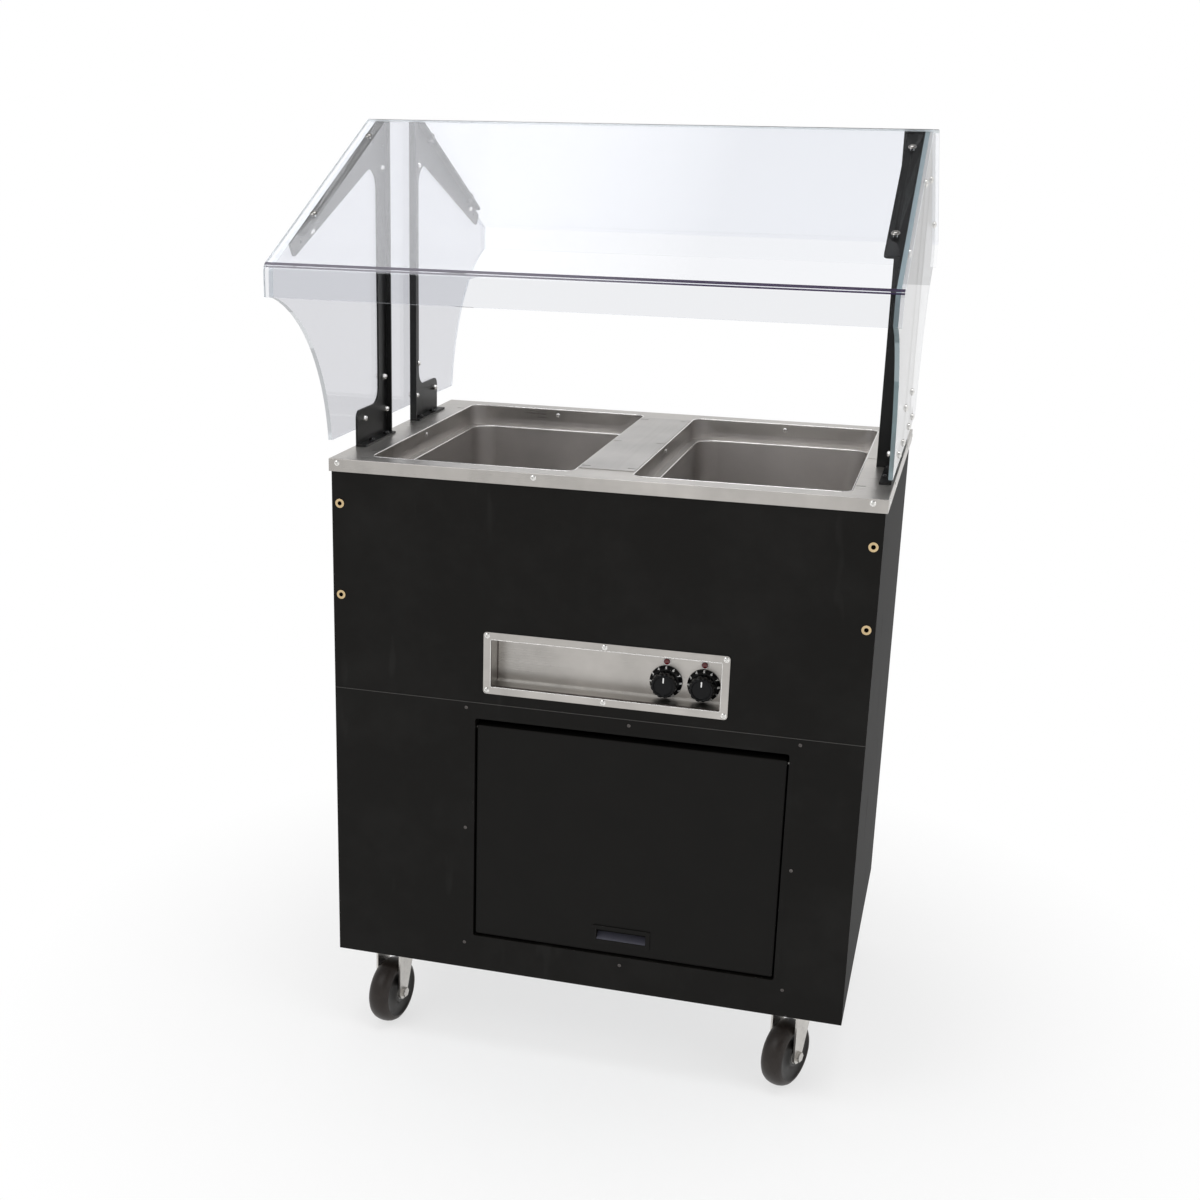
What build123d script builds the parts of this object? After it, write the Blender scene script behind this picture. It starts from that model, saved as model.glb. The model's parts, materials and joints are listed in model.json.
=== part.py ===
from build123d import *
import math
import os

# Portable two-well steam table: a black cabinet on four swivel casters, a stainless top with two
# open heated wells, and a double-sided clear food guard on four bent brackets.
# Millimetres. The origin is on the floor under the middle of the top, +X to the right of someone
# facing the controls, +Y towards the far side, +Z up.

# Stainless top
top_length = 808.0
top_depth = 575.0
top_height = 944.0
top_gauge = 1.5
rim_drop = 19.0

# Cabinet
body_inset = 3.0
body_bottom = 142.0
panel_gauge = 1.5
post_leg = 30.0
post_gauge = 2.0
floor_gauge = 3.0
seam_drop = 355.0
ceiling_gauge = 1.5

# Wells, sized for full food pans
well_width = 308.0
well_length = 508.0
well_inward = 5.0
opening_corner = 16.0
flange_drop = 20.0
collar_drop = 34.0
collar_corner = 24.0
shoulder = 11.0
well_corner = 34.0
well_floor_radius = 18.0
well_drop = 190.0
well_gauge = 1.2
well_lip = 11.0
housing_drop = 212.0
housing_gauge = 1.0
cover_width = 84.0
cover_length = 452.0
cover_gauge = 1.0
slot_length = 13.0
slot_width = 3.0
slot_row = 208.0
slot_edge_gap = 9.0

# Heating element in each well
element_radius = 4.0
element_half_width = 81.0
element_lift = 10.0
element_far_end = 190.0
element_near_end = -150.0
saddle_width = 14.0
terminal_reach = 14.0

# Recessed control box
control_x = 20.0
control_drop = 291.0
control_width = 367.0
control_height = 96.0
control_border = 11.0
control_recess = 37.0
control_gauge = 1.2
control_corner = 5.0
control_screw_edge = 5.5

# Knobs, switches and lamps
knob_x = (105.5, 161.5)
knob_below_middle = 12.0
knob_radius = 24.4
knob_skirt = 6.0
knob_reach = 25.0
knob_cap_radius = 19.4
knob_scallops = 12
knob_scallop_radius = 3.6
knob_shaft_grip = 14.0
knob_panel_gap = 1.0
shaft_radius = 3.0
switch_size = 36.0
switch_depth = 30.0
lamp_rise = 31.0
lamp_radius = 4.6
lamp_bezel_radius = 5.8
lamp_reach = 4.0
lamp_depth = 22.0

# Access door, hinged along its upper edge
door_x = 60.0
door_opening_width = 472.0
door_opening_rise = 58.0
door_opening_below_seam = 26.0
door_side_gap = 2.5
door_bottom_gap = 3.0
door_top_gap = 11.0
door_recess = 3.0
door_depth = 18.0
door_gauge = 3.0
door_corner = 3.0
hinge_below_top = 7.0
hinge_behind_face = 11.5
hinge_pin_radius = 3.0
hinge_pin_grip = 12.0
door_swing_room = 26.0
frame_width = 22.0
frame_depth = 20.0
frame_gauge = 2.0
stop_width = 9.0
stop_gap = 0.3
pull_width = 90.0
pull_height = 31.0
pull_rise = 14.0
pull_depth = 14.0
pull_border = 5.0
pull_gauge = 1.5
frame_screw_margin_x = 14.0
frame_screw_margin_z = 16.0

# Cable outlet in the rear panel
gland_edge = 74.0
gland_drop = 304.0
gland_radius = 11.0

# Channels that stiffen the floor
channel_height = 18.0
channel_width = 110.0
channel_gauge = 2.5

# Threaded inserts for the tray slides
insert_edge = 12.5
insert_drop = 67.0
insert_left_spacing = 140.0
insert_right_spacing = 118.0
insert_flange_radius = 6.8
insert_flange = 1.2
insert_barrel_radius = 5.0
insert_bore_radius = 3.3
insert_length = 16.0

# Clear food guard and its brackets
guard_overhang = 7.0
guard_gauge = 6.0
guard_apex_y = 90.0
guard_apex_rise = 470.0
guard_slope = 25.4
guard_fold_y = 475.0
guard_lip = 38.0
guard_bend = 7.0
end_panel_gauge = 6.0
end_panel_gap = 0.3
end_panel_foot_rise = 26.0
end_panel_foot_y = 282.0
end_panel_waist_y = 338.0
end_panel_waist_rise = 160.0
end_panel_tip_rise = 250.0
bracket_gauge = 3.0
bracket_edge = 4.0
post_inner_y = 58.0
post_width = 36.0
post_flange = {-1: 11.0, 1: 30.0}
foot_reach = 188.0
foot_height = 54.0
foot_flange = 17.0
foot_corner = 12.0
neck_radius = 24.0
arm_flange = {-1: 15.0, 1: 23.0}
arm_flange_end_y = 397.0
arm_root_width = 47.0
arm_tip_width = 20.0
arm_tip_y = 422.0
crotch_radius = 30.0
web_hole_radius = 3.0
web_holes = ((69.0, 436.0), (388.0, 314.0))

# Fasteners
rim_screw_edge = (13.0, 21.0)
rim_screw_middle = -92.0
rim_screw_side = (25.5, 137.5)
screw_radius = 2.0
screw_head_radius = 4.2
frame_screw_radius = 1.4
frame_screw_head_radius = 2.6
frame_screw_head = 1.3
screw_head = 2.0
screw_length = 9.0
bolt_radius = 2.5
bolt_head_radius = 5.5
bolt_head = 3.6
nut_radius = 5.0
nut_height = 5.0
cap_nut_height = 8.0
hole_play = 0.25
slope_screw_y = (140.0, 352.0)
end_screws = ((166.0, 40.0), (72.0, 40.0), (80.0, 92.0), (84.0, 404.0), (358.0, 326.0))
foot_bolt_y = (82.0, 144.0)

# Casters
caster_inset_x = 78.0
caster_inset_y = 76.0
caster_headings = {"front_left": -10.0, "front_right": -22.0, "rear_left": -8.0, "rear_right": -20.0}
plate_length = 92.0
plate_width = 64.0
plate_gauge = 3.0
race_radius = 25.0
race_height = 8.0
swivel_gap = 0.4
kingpin_radius = 6.0
kingpin_head_radius = 10.0
kingpin_head = 4.0
running_play = 0.06
fork_race_height = 6.0
fork_gauge = 3.0
fork_length = 56.0
fork_set_back = 14.0
wheel_radius = 53.0
wheel_width = 36.0
wheel_edge_radius = 12.0
wheel_side_gap = 1.5
hub_radius = 17.0
caster_trail = 24.0
axle_radius = 5.0
axle_eye_radius = 12.0
axle_head_radius = 8.0
axle_head = 5.0
caster_bolt_radius = 4.0
caster_bolt_inset = 9.0

# Derived places
body_half_x = top_length / 2 - body_inset
body_half_y = top_depth / 2 - body_inset
inner_half_x = body_half_x - panel_gauge
inner_half_y = body_half_y - panel_gauge
top_under = top_height - top_gauge
seam_height = top_height - seam_drop
control_z = top_height - control_drop
knob_z = control_z - knob_below_middle
door_opening_bottom = body_bottom + door_opening_rise
door_opening_top = seam_height - door_opening_below_seam
insert_x = body_half_x - insert_edge
insert_top_z = top_height - insert_drop
gland_z = top_height - gland_drop
bracket_outer_x = top_length / 2 - bracket_edge
guard_length = top_length + 2 * guard_overhang
floor_top = body_bottom + floor_gauge
well_centre_x = top_length / 4 - well_inward
well_centres = {"left": -well_centre_x, "right": well_centre_x}
gland_x = gland_edge - top_length / 2
front_y = -body_half_y
control_back_y = front_y + control_recess
door_half = door_opening_width / 2 - door_side_gap
door_top = door_opening_top - door_top_gap
door_bottom = door_opening_bottom + door_bottom_gap
door_face_y = front_y + door_recess
door_back_y = door_face_y + door_depth
hinge_y = door_face_y + hinge_behind_face
hinge_z = door_top - hinge_below_top
slope_fall = math.tan(math.radians(guard_slope))
slope_cos = math.cos(math.radians(guard_slope))
guard_apex_z = top_height + guard_apex_rise
caster_places = {
    "front_left": (-1, -1),
    "front_right": (1, -1),
    "rear_left": (-1, 1),
    "rear_right": (1, 1),
}


def block(x0, x1, y0, y1, z0, z1):
    return Pos((x0 + x1) / 2, (y0 + y1) / 2, (z0 + z1) / 2) * Box(x1 - x0, y1 - y0, z1 - z0)


def rod_x(x0, x1, y, z, radius):
    return Pos((x0 + x1) / 2, y, z) * Rot(0, 90, 0) * Cylinder(radius, x1 - x0)


def rod_y(x, y0, y1, z, radius):
    return Pos(x, (y0 + y1) / 2, z) * Rot(90, 0, 0) * Cylinder(radius, y1 - y0)


def rod_z(x, y, z0, z1, radius):
    return Pos(x, y, (z0 + z1) / 2) * Cylinder(radius, z1 - z0)


def rounded_prism(width, length, corner, z0, z1):
    return Pos(0, 0, z0) * extrude(RectangleRounded(width, length, corner), z1 - z0)


def side_profile(points):
    """A face in the YZ plane from (y, z) points."""
    return make_face(Polyline([(0, y, z) for y, z in points], close=True))


def group(solids):
    return Compound(children=list(solids))


def save(name, shape):
    export_step(shape, f"parts/{name}.step")


def dome_screw_y(x, z, head_y, radius, head_radius, head, length):
    """A screw along +Y whose domed head stands on the plane y = head_y, facing -Y."""
    shank = rod_y(x, head_y, head_y + length, z, radius)
    cap = rod_y(x, head_y - head, head_y, z, head_radius)
    cap = fillet(cap.edges().sort_by(Axis.Y)[0], head * 0.6)
    return shank + cap


# Stainless top

def well_openings(extra, z0, z1):
    return [
        Pos(x, 0, 0) * rounded_prism(well_width + extra, well_length + extra, opening_corner, z0, z1)
        for x in well_centres.values()
    ]


def slot_cuts():
    """Short slots beside the long edges of each well."""
    cuts = []
    for centre in well_centres.values():
        for side in (-1, 1):
            x = centre + side * (well_width / 2 + slot_edge_gap)
            for y in (-slot_row, 0, slot_row):
                cuts.append(Pos(x, y, top_height) * Box(slot_length, slot_width, 4 * top_gauge))
    return cuts


def opening_flanges():
    """Turned-down strips on the straight runs of each opening, with mitred ends."""
    strips = []
    for x in well_centres.values():
        for side in (-1, 1):
            half = well_length / 2 - collar_corner
            strip = block(
                x + side * (well_width / 2 + top_gauge / 2) - top_gauge / 2,
                x + side * (well_width / 2 + top_gauge / 2) + top_gauge / 2,
                -half, half, top_height - flange_drop, top_height - top_gauge / 2,
            )
            strips.append(chamfer(strip.edges().filter_by(Axis.X).group_by(Axis.Z)[0], flange_drop * 0.7))
            half = well_width / 2 - collar_corner
            strip = block(
                x - half, x + half,
                side * (well_length / 2 + top_gauge / 2) - top_gauge / 2,
                side * (well_length / 2 + top_gauge / 2) + top_gauge / 2,
                top_height - flange_drop, top_height - top_gauge / 2,
            )
            strips.append(chamfer(strip.edges().filter_by(Axis.Y).group_by(Axis.Z)[0], flange_drop * 0.7))
    return strips


def well_screw_places():
    """(x, y, direction) of the screws in the middle of each turned-down strip."""
    places = []
    for centre in well_centres.values():
        for side in (-1, 1):
            places.append((centre, side * well_length / 2, (0, side)))
            places.append((centre + side * well_width / 2, 0.0, (side, 0)))
    return places


def well_screw(x, y, direction, grow=0.0):
    """Screw through a strip into the well's collar, its head inside the well."""
    z = top_height - flange_drop / 2
    reach = top_gauge + well_gauge + 3.0
    shank = Cylinder(screw_radius + grow, reach, align=(Align.CENTER, Align.CENTER, Align.MIN))
    head = Cylinder(screw_head_radius - 0.7, 1.5, align=(Align.CENTER, Align.CENTER, Align.MAX))
    shape = shank if grow else shank + head
    turn = Rot(0, 90 * direction[0], 0) if direction[0] else Rot(-90 * direction[1], 0, 0)
    return Pos(x, y, z) * turn * shape


def rim_screw_places():
    """(x, y, outward direction) of the screws in the top's turned-down rim."""
    half_x, half_y = top_length / 2, top_depth / 2
    z = top_height - rim_drop / 3
    left, right = rim_screw_edge
    xs = (left - half_x, rim_screw_middle, half_x - right)
    ys = [side * (half_y - edge) for side in (-1, 1) for edge in rim_screw_side]
    places = [(x, side * half_y, z, (0, side)) for side in (-1, 1) for x in xs]
    places += [(side * half_x, y, z, (side, 0)) for side in (-1, 1) for y in ys]
    return places


def rim_screw(x, y, z, direction, grow=0.0):
    shank = Cylinder(screw_radius + grow, screw_length, align=(Align.CENTER, Align.CENTER, Align.MAX))
    head = Cylinder(screw_head_radius, screw_head, align=(Align.CENTER, Align.CENTER, Align.MIN))
    head = fillet(head.edges().sort_by(Axis.Z)[-1], screw_head * 0.6)
    shape = shank if grow else shank + head
    turn = Rot(0, 90 * direction[0], 0) if direction[0] else Rot(-90 * direction[1], 0, 0)
    return Pos(x, y, z) * turn * shape


def counter_top():
    half_x, half_y = top_length / 2, top_depth / 2
    shell = block(-half_x, half_x, -half_y, half_y, top_height - rim_drop, top_height)
    shell = fillet(shell.edges().group_by(Axis.Z)[-1], 1.0)
    shell -= block(
        -half_x + top_gauge, half_x - top_gauge, -half_y + top_gauge, half_y - top_gauge,
        top_height - rim_drop - 1, top_under,
    )
    for cut in well_openings(0, top_height - 2 * top_gauge, top_height + 1):
        shell -= cut
    for strip in opening_flanges():
        shell += strip
    for cut in slot_cuts():
        shell -= cut
    for place in well_screw_places():
        shell -= well_screw(*place, grow=hole_play)
    for place in rim_screw_places():
        shell -= rim_screw(*place, grow=hole_play)
    for x, y in foot_bolt_places():
        shell -= rod_z(x, y, top_under - 1, top_height + 1, bolt_radius + hole_play)
    return shell


def center_cover():
    plate = block(
        -cover_width / 2, cover_width / 2, -cover_length / 2, cover_length / 2,
        top_height, top_height + cover_gauge,
    )
    plate = fillet(plate.edges().filter_by(Axis.Z), 3.0)
    for side in (-1, 1):
        x = side * (well_centre_x - well_width / 2 - slot_edge_gap)
        for y in (-slot_row, 0, slot_row):
            plate -= Pos(x, y, top_height) * Box(slot_length, slot_width, 4 * cover_gauge)
    return plate


# Wells

def well_liner(x):
    """Collar outside the turned-down strips, a rounded shoulder and the deep well below it."""
    collar_w, collar_l = well_width + 2 * top_gauge, well_length + 2 * top_gauge
    deep_w, deep_l = well_width - 2 * shoulder, well_length - 2 * shoulder
    collar_z, floor_z = top_height - collar_drop, top_height - well_drop
    outer = rounded_prism(collar_w + 2 * well_gauge, collar_l + 2 * well_gauge, collar_corner + well_gauge,
                          collar_z - well_gauge, top_under)
    deep = rounded_prism(deep_w + 2 * well_gauge, deep_l + 2 * well_gauge, well_corner + well_gauge,
                         floor_z - well_gauge, collar_z)
    deep = fillet(deep.edges().group_by(Axis.Z)[0], well_floor_radius + well_gauge)
    lip = rounded_prism(collar_w + 2 * well_lip, collar_l + 2 * well_lip, collar_corner + well_lip,
                        top_under - well_gauge, top_under)
    hollow = rounded_prism(collar_w, collar_l, collar_corner, collar_z, top_under + 1)
    deep_hollow = rounded_prism(deep_w, deep_l, well_corner, floor_z, collar_z)
    deep_hollow = fillet(deep_hollow.edges().group_by(Axis.Z)[0], well_floor_radius)
    shell = outer + deep + lip - hollow - deep_hollow
    shell = Pos(x, 0, 0) * shell
    for sx, sy, direction in well_screw_places():
        if abs(sx - x) < well_width:
            shell -= well_screw(sx, sy, direction, grow=hole_play)
    for side in (-1, 1):
        shell -= rod_y(x + side * element_half_width, -well_length, 0, element_z(), element_radius + hole_play)
    return shell


def housing_half():
    """Half the width and half the length inside the box around one well."""
    return [size / 2 + top_gauge + well_lip + 0.5 for size in (well_width, well_length)]


def well_housing(x):
    half_w, half_l = housing_half()
    g = housing_gauge
    z0 = top_height - housing_drop
    shell = block(x - half_w - g, x + half_w + g, -half_l - g, half_l + g, z0, top_under)
    shell -= block(x - half_w, x + half_w, -half_l, half_l, z0 + g, top_under + 1)
    return shell


def insulation(x):
    """Batt that fills the space between the deep well and its housing."""
    half_w, half_l = housing_half()
    z0 = top_height - housing_drop + housing_gauge
    z1 = top_height - collar_drop - well_gauge
    batt = block(x - half_w, x + half_w, -half_l, half_l, z0, z1)
    cut = rounded_prism(well_width - 2 * shoulder + 2 * well_gauge + 0.6,
                        well_length - 2 * shoulder + 2 * well_gauge + 0.6,
                        well_corner + well_gauge, top_height - well_drop - well_gauge, z1 + 1)
    batt -= Pos(x, 0, 0) * cut
    reach = well_length / 2 - shoulder + well_gauge + terminal_reach
    for side in (-1, 1):
        batt -= rod_y(x + side * element_half_width, -reach - 0.3, 0, element_z(), element_radius + 0.5)
    return batt


def element_z():
    return top_height - well_drop + element_lift + element_radius


def heating_element(x):
    """A W of tube over the well's floor, its two ends leaving through the front wall."""
    z, outer = element_z(), element_half_width
    inner = outer / 3
    start = -(well_length / 2 - shoulder + well_gauge + terminal_reach)
    far, near = element_far_end, element_near_end
    route = [
        (-outer, start), (-outer, far), (-inner, far), (-inner, near),
        (inner, near), (inner, far), (outer, far), (outer, start),
    ]
    points = [(x + dx, y, z) for dx, y in route]
    path = FilletPolyline(points, radius=inner - 1.0)
    return sweep(Plane(origin=points[0], z_dir=(0, 1, 0)) * Circle(element_radius), path=path)


def element_saddles(x):
    """Two strips on the floor whose notches the tube lies in."""
    saddles = []
    floor_z = top_height - well_drop
    for y in (-60.0, 120.0):
        strip = block(x - element_half_width - 12, x + element_half_width + 12,
                      y - saddle_width / 2, y + saddle_width / 2, floor_z, element_z())
        for share in (-1, -1 / 3, 1 / 3, 1):
            tube_x = x + share * element_half_width
            strip -= rod_y(tube_x, y - saddle_width, y + saddle_width, element_z(), element_radius + 0.2)
        saddles.append(strip)
    return saddles


# Cabinet

def corner_post(sx, sy):
    px, py = sx * inner_half_x, sy * inner_half_y
    qx, qy = sx * (inner_half_x - post_leg), sy * (inner_half_y - post_leg)
    g = post_gauge
    leg_a = block(min(px, qx), max(px, qx), min(py, py - sy * g), max(py, py - sy * g), floor_top, top_under)
    leg_b = block(min(px, px - sx * g), max(px, px - sx * g), min(py, qy), max(py, qy), floor_top, top_under)
    post = leg_a + leg_b
    for x, y, z, side in insert_places():
        if x * sx > 0 and side == sy:
            post -= rod_y(x, y - 30, y + 30, z, insert_barrel_radius)
    for x, y, z, direction in rim_screw_places():
        post -= rim_screw(x, y, z, direction, grow=hole_play)
    return post


def insert_places():
    """(x, y, z, outward side) of each threaded insert."""
    places = []
    for side in (-1, 1):
        for x, spacing in ((-insert_x, insert_left_spacing), (insert_x, insert_right_spacing)):
            for z in (insert_top_z, insert_top_z - spacing):
                places.append((x, side * body_half_y, z, side))
    return places


def threaded_insert(x, y, z, side):
    """Brass insert: a flange on the panel's face and a barrel through panel and post."""
    out, inward = y + side * insert_flange, y - side * insert_length
    body = rod_y(x, min(y, inward), max(y, inward), z, insert_barrel_radius)
    body += rod_y(x, min(y, out), max(y, out), z, insert_flange_radius)
    body -= rod_y(x, min(out, inward) - 1, max(out, inward) + 1, z, insert_bore_radius)
    return body


def front_sheet(z0, z1, side):
    y0, y1 = sorted((side * inner_half_y, side * body_half_y))
    sheet = block(-body_half_x, body_half_x, y0, y1, z0, z1)
    for x, y, z, where in insert_places():
        if where == side and z0 < z < z1:
            sheet -= rod_y(x, y - 10, y + 10, z, insert_barrel_radius)
    for x, y, z, direction in rim_screw_places():
        if direction[1] == side:
            sheet -= rim_screw(x, y, z, direction, grow=hole_play)
    return sheet


def front_upper_panel():
    sheet = front_sheet(seam_height, top_under, -1)
    half_w, half_h = control_width / 2 - control_border, control_height / 2 - control_border
    g = control_gauge
    sheet -= block(control_x - half_w - g, control_x + half_w + g, front_y - 5, front_y + 5,
                   control_z - half_h - g, control_z + half_h + g)
    for x, z in control_screw_places():
        sheet -= rod_y(x, front_y - 5, front_y + 5, z, screw_radius + hole_play)
    return sheet


def door_opening(depth_from, depth_to):
    return block(door_x - door_opening_width / 2, door_x + door_opening_width / 2,
                 depth_from, depth_to, door_opening_bottom, door_opening_top)


def front_lower_panel():
    sheet = front_sheet(body_bottom, seam_height - 0.5, -1)
    opening = door_opening(front_y - 5, front_y + 5)
    sheet -= fillet(opening.edges().filter_by(Axis.Y), 4.0)
    for x, z in frame_screw_places():
        sheet -= rod_y(x, front_y - 5, front_y + 5, z, frame_screw_radius + hole_play)
    return sheet


def rear_panel():
    sheet = front_sheet(body_bottom, top_under, 1)
    sheet -= rod_y(gland_x, body_half_y - 5, body_half_y + 5, gland_z, gland_radius)
    return sheet


def side_panel(sx):
    x0, x1 = sorted((sx * inner_half_x, sx * body_half_x))
    sheet = block(x0, x1, -inner_half_y, inner_half_y, body_bottom, top_under)
    for x, y, z, direction in rim_screw_places():
        if direction[0] == sx:
            sheet -= rim_screw(x, y, z, direction, grow=hole_play)
    return sheet


def cable_gland():
    """Bushed cable outlet in the rear panel, with its lock nut inside."""
    y = body_half_y
    body = rod_y(gland_x, y - 14, y + 9, gland_z, gland_radius)
    body += rod_y(gland_x, y, y + 4, gland_z, gland_radius + 4)
    body += rod_y(gland_x, y - panel_gauge - 5, y - panel_gauge, gland_z, gland_radius + 5)
    body -= rod_y(gland_x, y - 20, y + 20, gland_z, 5.0)
    return body


def base_floor():
    plate = block(-inner_half_x, inner_half_x, -inner_half_y, inner_half_y, body_bottom, floor_top)
    for x, y in caster_bolt_places():
        plate -= rod_z(x, y, body_bottom - 1, floor_top + 1, caster_bolt_radius + hole_play)
    return plate


def base_channel(sx):
    """Stiffening channel on the floor, over the casters of one end."""
    x = sx * (top_length / 2 - caster_inset_x)
    half_y = inner_half_y - post_leg - 4
    outer = block(x - channel_width / 2, x + channel_width / 2, -half_y, half_y, floor_top,
                  floor_top + channel_height)
    inner = block(x - channel_width / 2 + channel_gauge, x + channel_width / 2 - channel_gauge,
                  -half_y - 1, half_y + 1, floor_top, floor_top + channel_height - channel_gauge)
    return outer - inner


def compartment_ceiling():
    """Sheet that shuts the storage space off from the wiring above, notched round the posts."""
    z = seam_height
    sheet = block(-inner_half_x, inner_half_x, -inner_half_y, inner_half_y, z, z + ceiling_gauge)
    for sx in (-1, 1):
        for sy in (-1, 1):
            px, py = sx * inner_half_x, sy * inner_half_y
            qx, qy = px - sx * post_leg, py - sy * post_leg
            sheet -= block(min(px, qx), max(px, qx), min(py, qy), max(py, qy), z - 1, z + 5)
    return sheet


# Door

def frame_screw_places():
    xs = (door_x - door_opening_width / 2 - frame_screw_margin_x, door_x,
          door_x + door_opening_width / 2 + frame_screw_margin_x)
    low, high = door_opening_bottom - frame_screw_margin_z + 2, door_opening_top + frame_screw_margin_z
    middle = (low + high) / 2
    return [(x, z) for z in (low, middle, high) for x in xs if not (z == middle and x == door_x)]


def door_frame():
    """Welded ring behind the panel, with a stop behind the door and ears for the hinge pins."""
    y0, y1 = front_y + panel_gauge, front_y + panel_gauge + frame_depth
    half = door_opening_width / 2
    ring = block(door_x - half - frame_width, door_x + half + frame_width, y0, y1,
                 door_opening_bottom - frame_width, door_opening_top + frame_width)
    ring -= door_opening(y0 - 1, y1 + 1)
    g = frame_gauge
    hollow = block(door_x - half - frame_width - 1, door_x + half + frame_width + 1, y0 + g, y1 + 1,
                   door_opening_bottom - frame_width - 1, door_opening_top + frame_width + 1)
    hollow -= block(door_x - half - g, door_x + half + g, y0, y1 + 2,
                    door_opening_bottom - g, door_opening_top + g)
    ring -= hollow
    stop_y = door_back_y + stop_gap
    stop = block(door_x - half - g, door_x + half + g, stop_y, stop_y + g,
                 door_opening_bottom - g, hinge_z - door_swing_room)
    stop -= block(door_x - half + stop_width, door_x + half - stop_width, stop_y - 1, stop_y + g + 1,
                  door_opening_bottom + stop_width, door_opening_top)
    ring += stop
    for side in (-1, 1):
        x0, x1 = sorted((door_x + side * half, door_x + side * (half + 8)))
        ear = block(x0, x1, hinge_y - 7, y1, hinge_z - 8, hinge_z + 8)
        ring += ear
        ring -= rod_x(x0 - 1, x1 + 1, hinge_y, hinge_z, hinge_pin_radius + running_play)
    for x, z in frame_screw_places():
        ring -= rod_y(x, y0 - 1, y0 + g + 1, z, frame_screw_radius + hole_play)
    return ring


def door_solid():
    shell = block(door_x - door_half, door_x + door_half, door_face_y, door_back_y, door_bottom, door_top)
    shell = fillet(shell.edges().filter_by(Axis.Y), door_corner)
    shell = fillet(shell.edges().group_by(Axis.Y)[0], 2.0)
    return shell


def access_door():
    """Moulded door: a face with returned edges, pin bosses at the top and a hole for the pull."""
    g = door_gauge
    shell = door_solid()
    shell -= block(door_x - door_half + g, door_x + door_half - g, door_face_y + g, door_back_y + 1,
                   door_bottom + g, door_top - g)
    for side in (-1, 1):
        x0, x1 = sorted((door_x + side * door_half, door_x + side * (door_half - hinge_pin_grip - g)))
        boss = block(x0, x1, hinge_y - 8, door_back_y - 0.5, hinge_z - 7, door_top - 1)
        shell += boss
        shell -= rod_x(x0 - 1, x1 + 1, hinge_y, hinge_z, hinge_pin_radius)
    half_w = pull_width / 2 - pull_border
    shell -= block(door_x - half_w, door_x + half_w, door_face_y - 1, door_face_y + g + 1,
                   pull_bottom() + pull_border, pull_bottom() + pull_height - pull_border)
    return shell


def pull_bottom():
    return door_bottom + pull_rise


def door_pull():
    """Flush cup: a bezel on the door's face and a pocket behind it that slopes up to the fingers."""
    z0, z1 = pull_bottom(), pull_bottom() + pull_height
    half_w = pull_width / 2
    bezel = block(door_x - half_w, door_x + half_w, door_face_y - 1.5, door_face_y, z0, z1)
    bezel = fillet(bezel.edges().filter_by(Axis.Y), 1.5)
    b, g = pull_border, pull_gauge
    cup = block(door_x - half_w + b, door_x + half_w - b, door_face_y, door_face_y + pull_depth, z0 + b, z1 - b)
    pocket_y = door_face_y + pull_depth - g
    slope = side_profile([
        (door_face_y - 3, z0 + b + g), (pocket_y, z1 - b - g - 9), (pocket_y, z1 - b - g), (door_face_y - 3, z1 - b - g),
    ])
    pocket = extrude(slope, half_w - b - g, dir=(1, 0, 0), both=True)
    return bezel + cup - Pos(door_x, 0, 0) * pocket


def hinge_pins():
    pins = []
    half = door_opening_width / 2
    for side in (-1, 1):
        x0, x1 = sorted((door_x + side * (door_half - hinge_pin_grip), door_x + side * (half + 7)))
        pins.append(rod_x(x0, x1, hinge_y, hinge_z, hinge_pin_radius))
    return pins


# Controls

def control_screw_places():
    e = control_screw_edge
    xs = (control_x - control_width / 2 + e, control_x, control_x + control_width / 2 - e)
    zs = (control_z - control_height / 2 + e, control_z + control_height / 2 - e)
    return [(x, z) for z in zs for x in xs]


def control_box():
    """Stainless pan set through the front, with a border that is screwed to the panel."""
    half_w, half_h = control_width / 2, control_height / 2
    g, b = control_gauge, control_border
    border = block(control_x - half_w, control_x + half_w, front_y - g, front_y,
                   control_z - half_h, control_z + half_h)
    border = fillet(border.edges().filter_by(Axis.Y), control_corner)
    pan = block(control_x - half_w + b - g, control_x + half_w - b + g, front_y - g, control_back_y + g,
                control_z - half_h + b - g, control_z + half_h - b + g)
    hollow = block(control_x - half_w + b, control_x + half_w - b, front_y - g - 1, control_back_y,
                   control_z - half_h + b, control_z + half_h - b)
    box = border + pan - hollow
    for x, z in control_screw_places():
        box -= rod_y(x, front_y - 5, front_y + 5, z, screw_radius + hole_play)
    for x in knob_x:
        box -= rod_y(x, control_back_y - 5, control_back_y + 5, knob_z, shaft_radius + 1.5)
        box -= rod_y(x, control_back_y - 5, control_back_y + 5, knob_z + lamp_rise, lamp_radius)
    return box


def knob(x):
    """Dial knob: a conical skirt that carries the numbers, and a scalloped cap."""
    back = control_back_y - knob_panel_gap
    cap_back, cap_front = back - knob_skirt, back - knob_reach
    skirt = Pos(x, (back + cap_back) / 2, knob_z) * Rot(90, 0, 0) * Cone(knob_radius, knob_cap_radius, knob_skirt)
    cap = rod_y(x, cap_front, cap_back, knob_z, knob_cap_radius - 0.4)
    cap = fillet(cap.edges().group_by(Axis.Y)[0], 2.5)
    for n in range(knob_scallops):
        turn = 2 * math.pi * (n + 0.5) / knob_scallops
        reach = knob_cap_radius + knob_scallop_radius * 0.55
        cx, cz = x + reach * math.cos(turn), knob_z + reach * math.sin(turn)
        cap -= rod_y(cx, cap_front - 1, cap_back + 1, cz, knob_scallop_radius)
    body = skirt + cap
    body -= rod_y(x, back - knob_shaft_grip, back + 1, knob_z, shaft_radius)
    shaft = rod_y(x, back - knob_shaft_grip, control_back_y + control_gauge + 8, knob_z, shaft_radius)
    return group([body, shaft])


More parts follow.
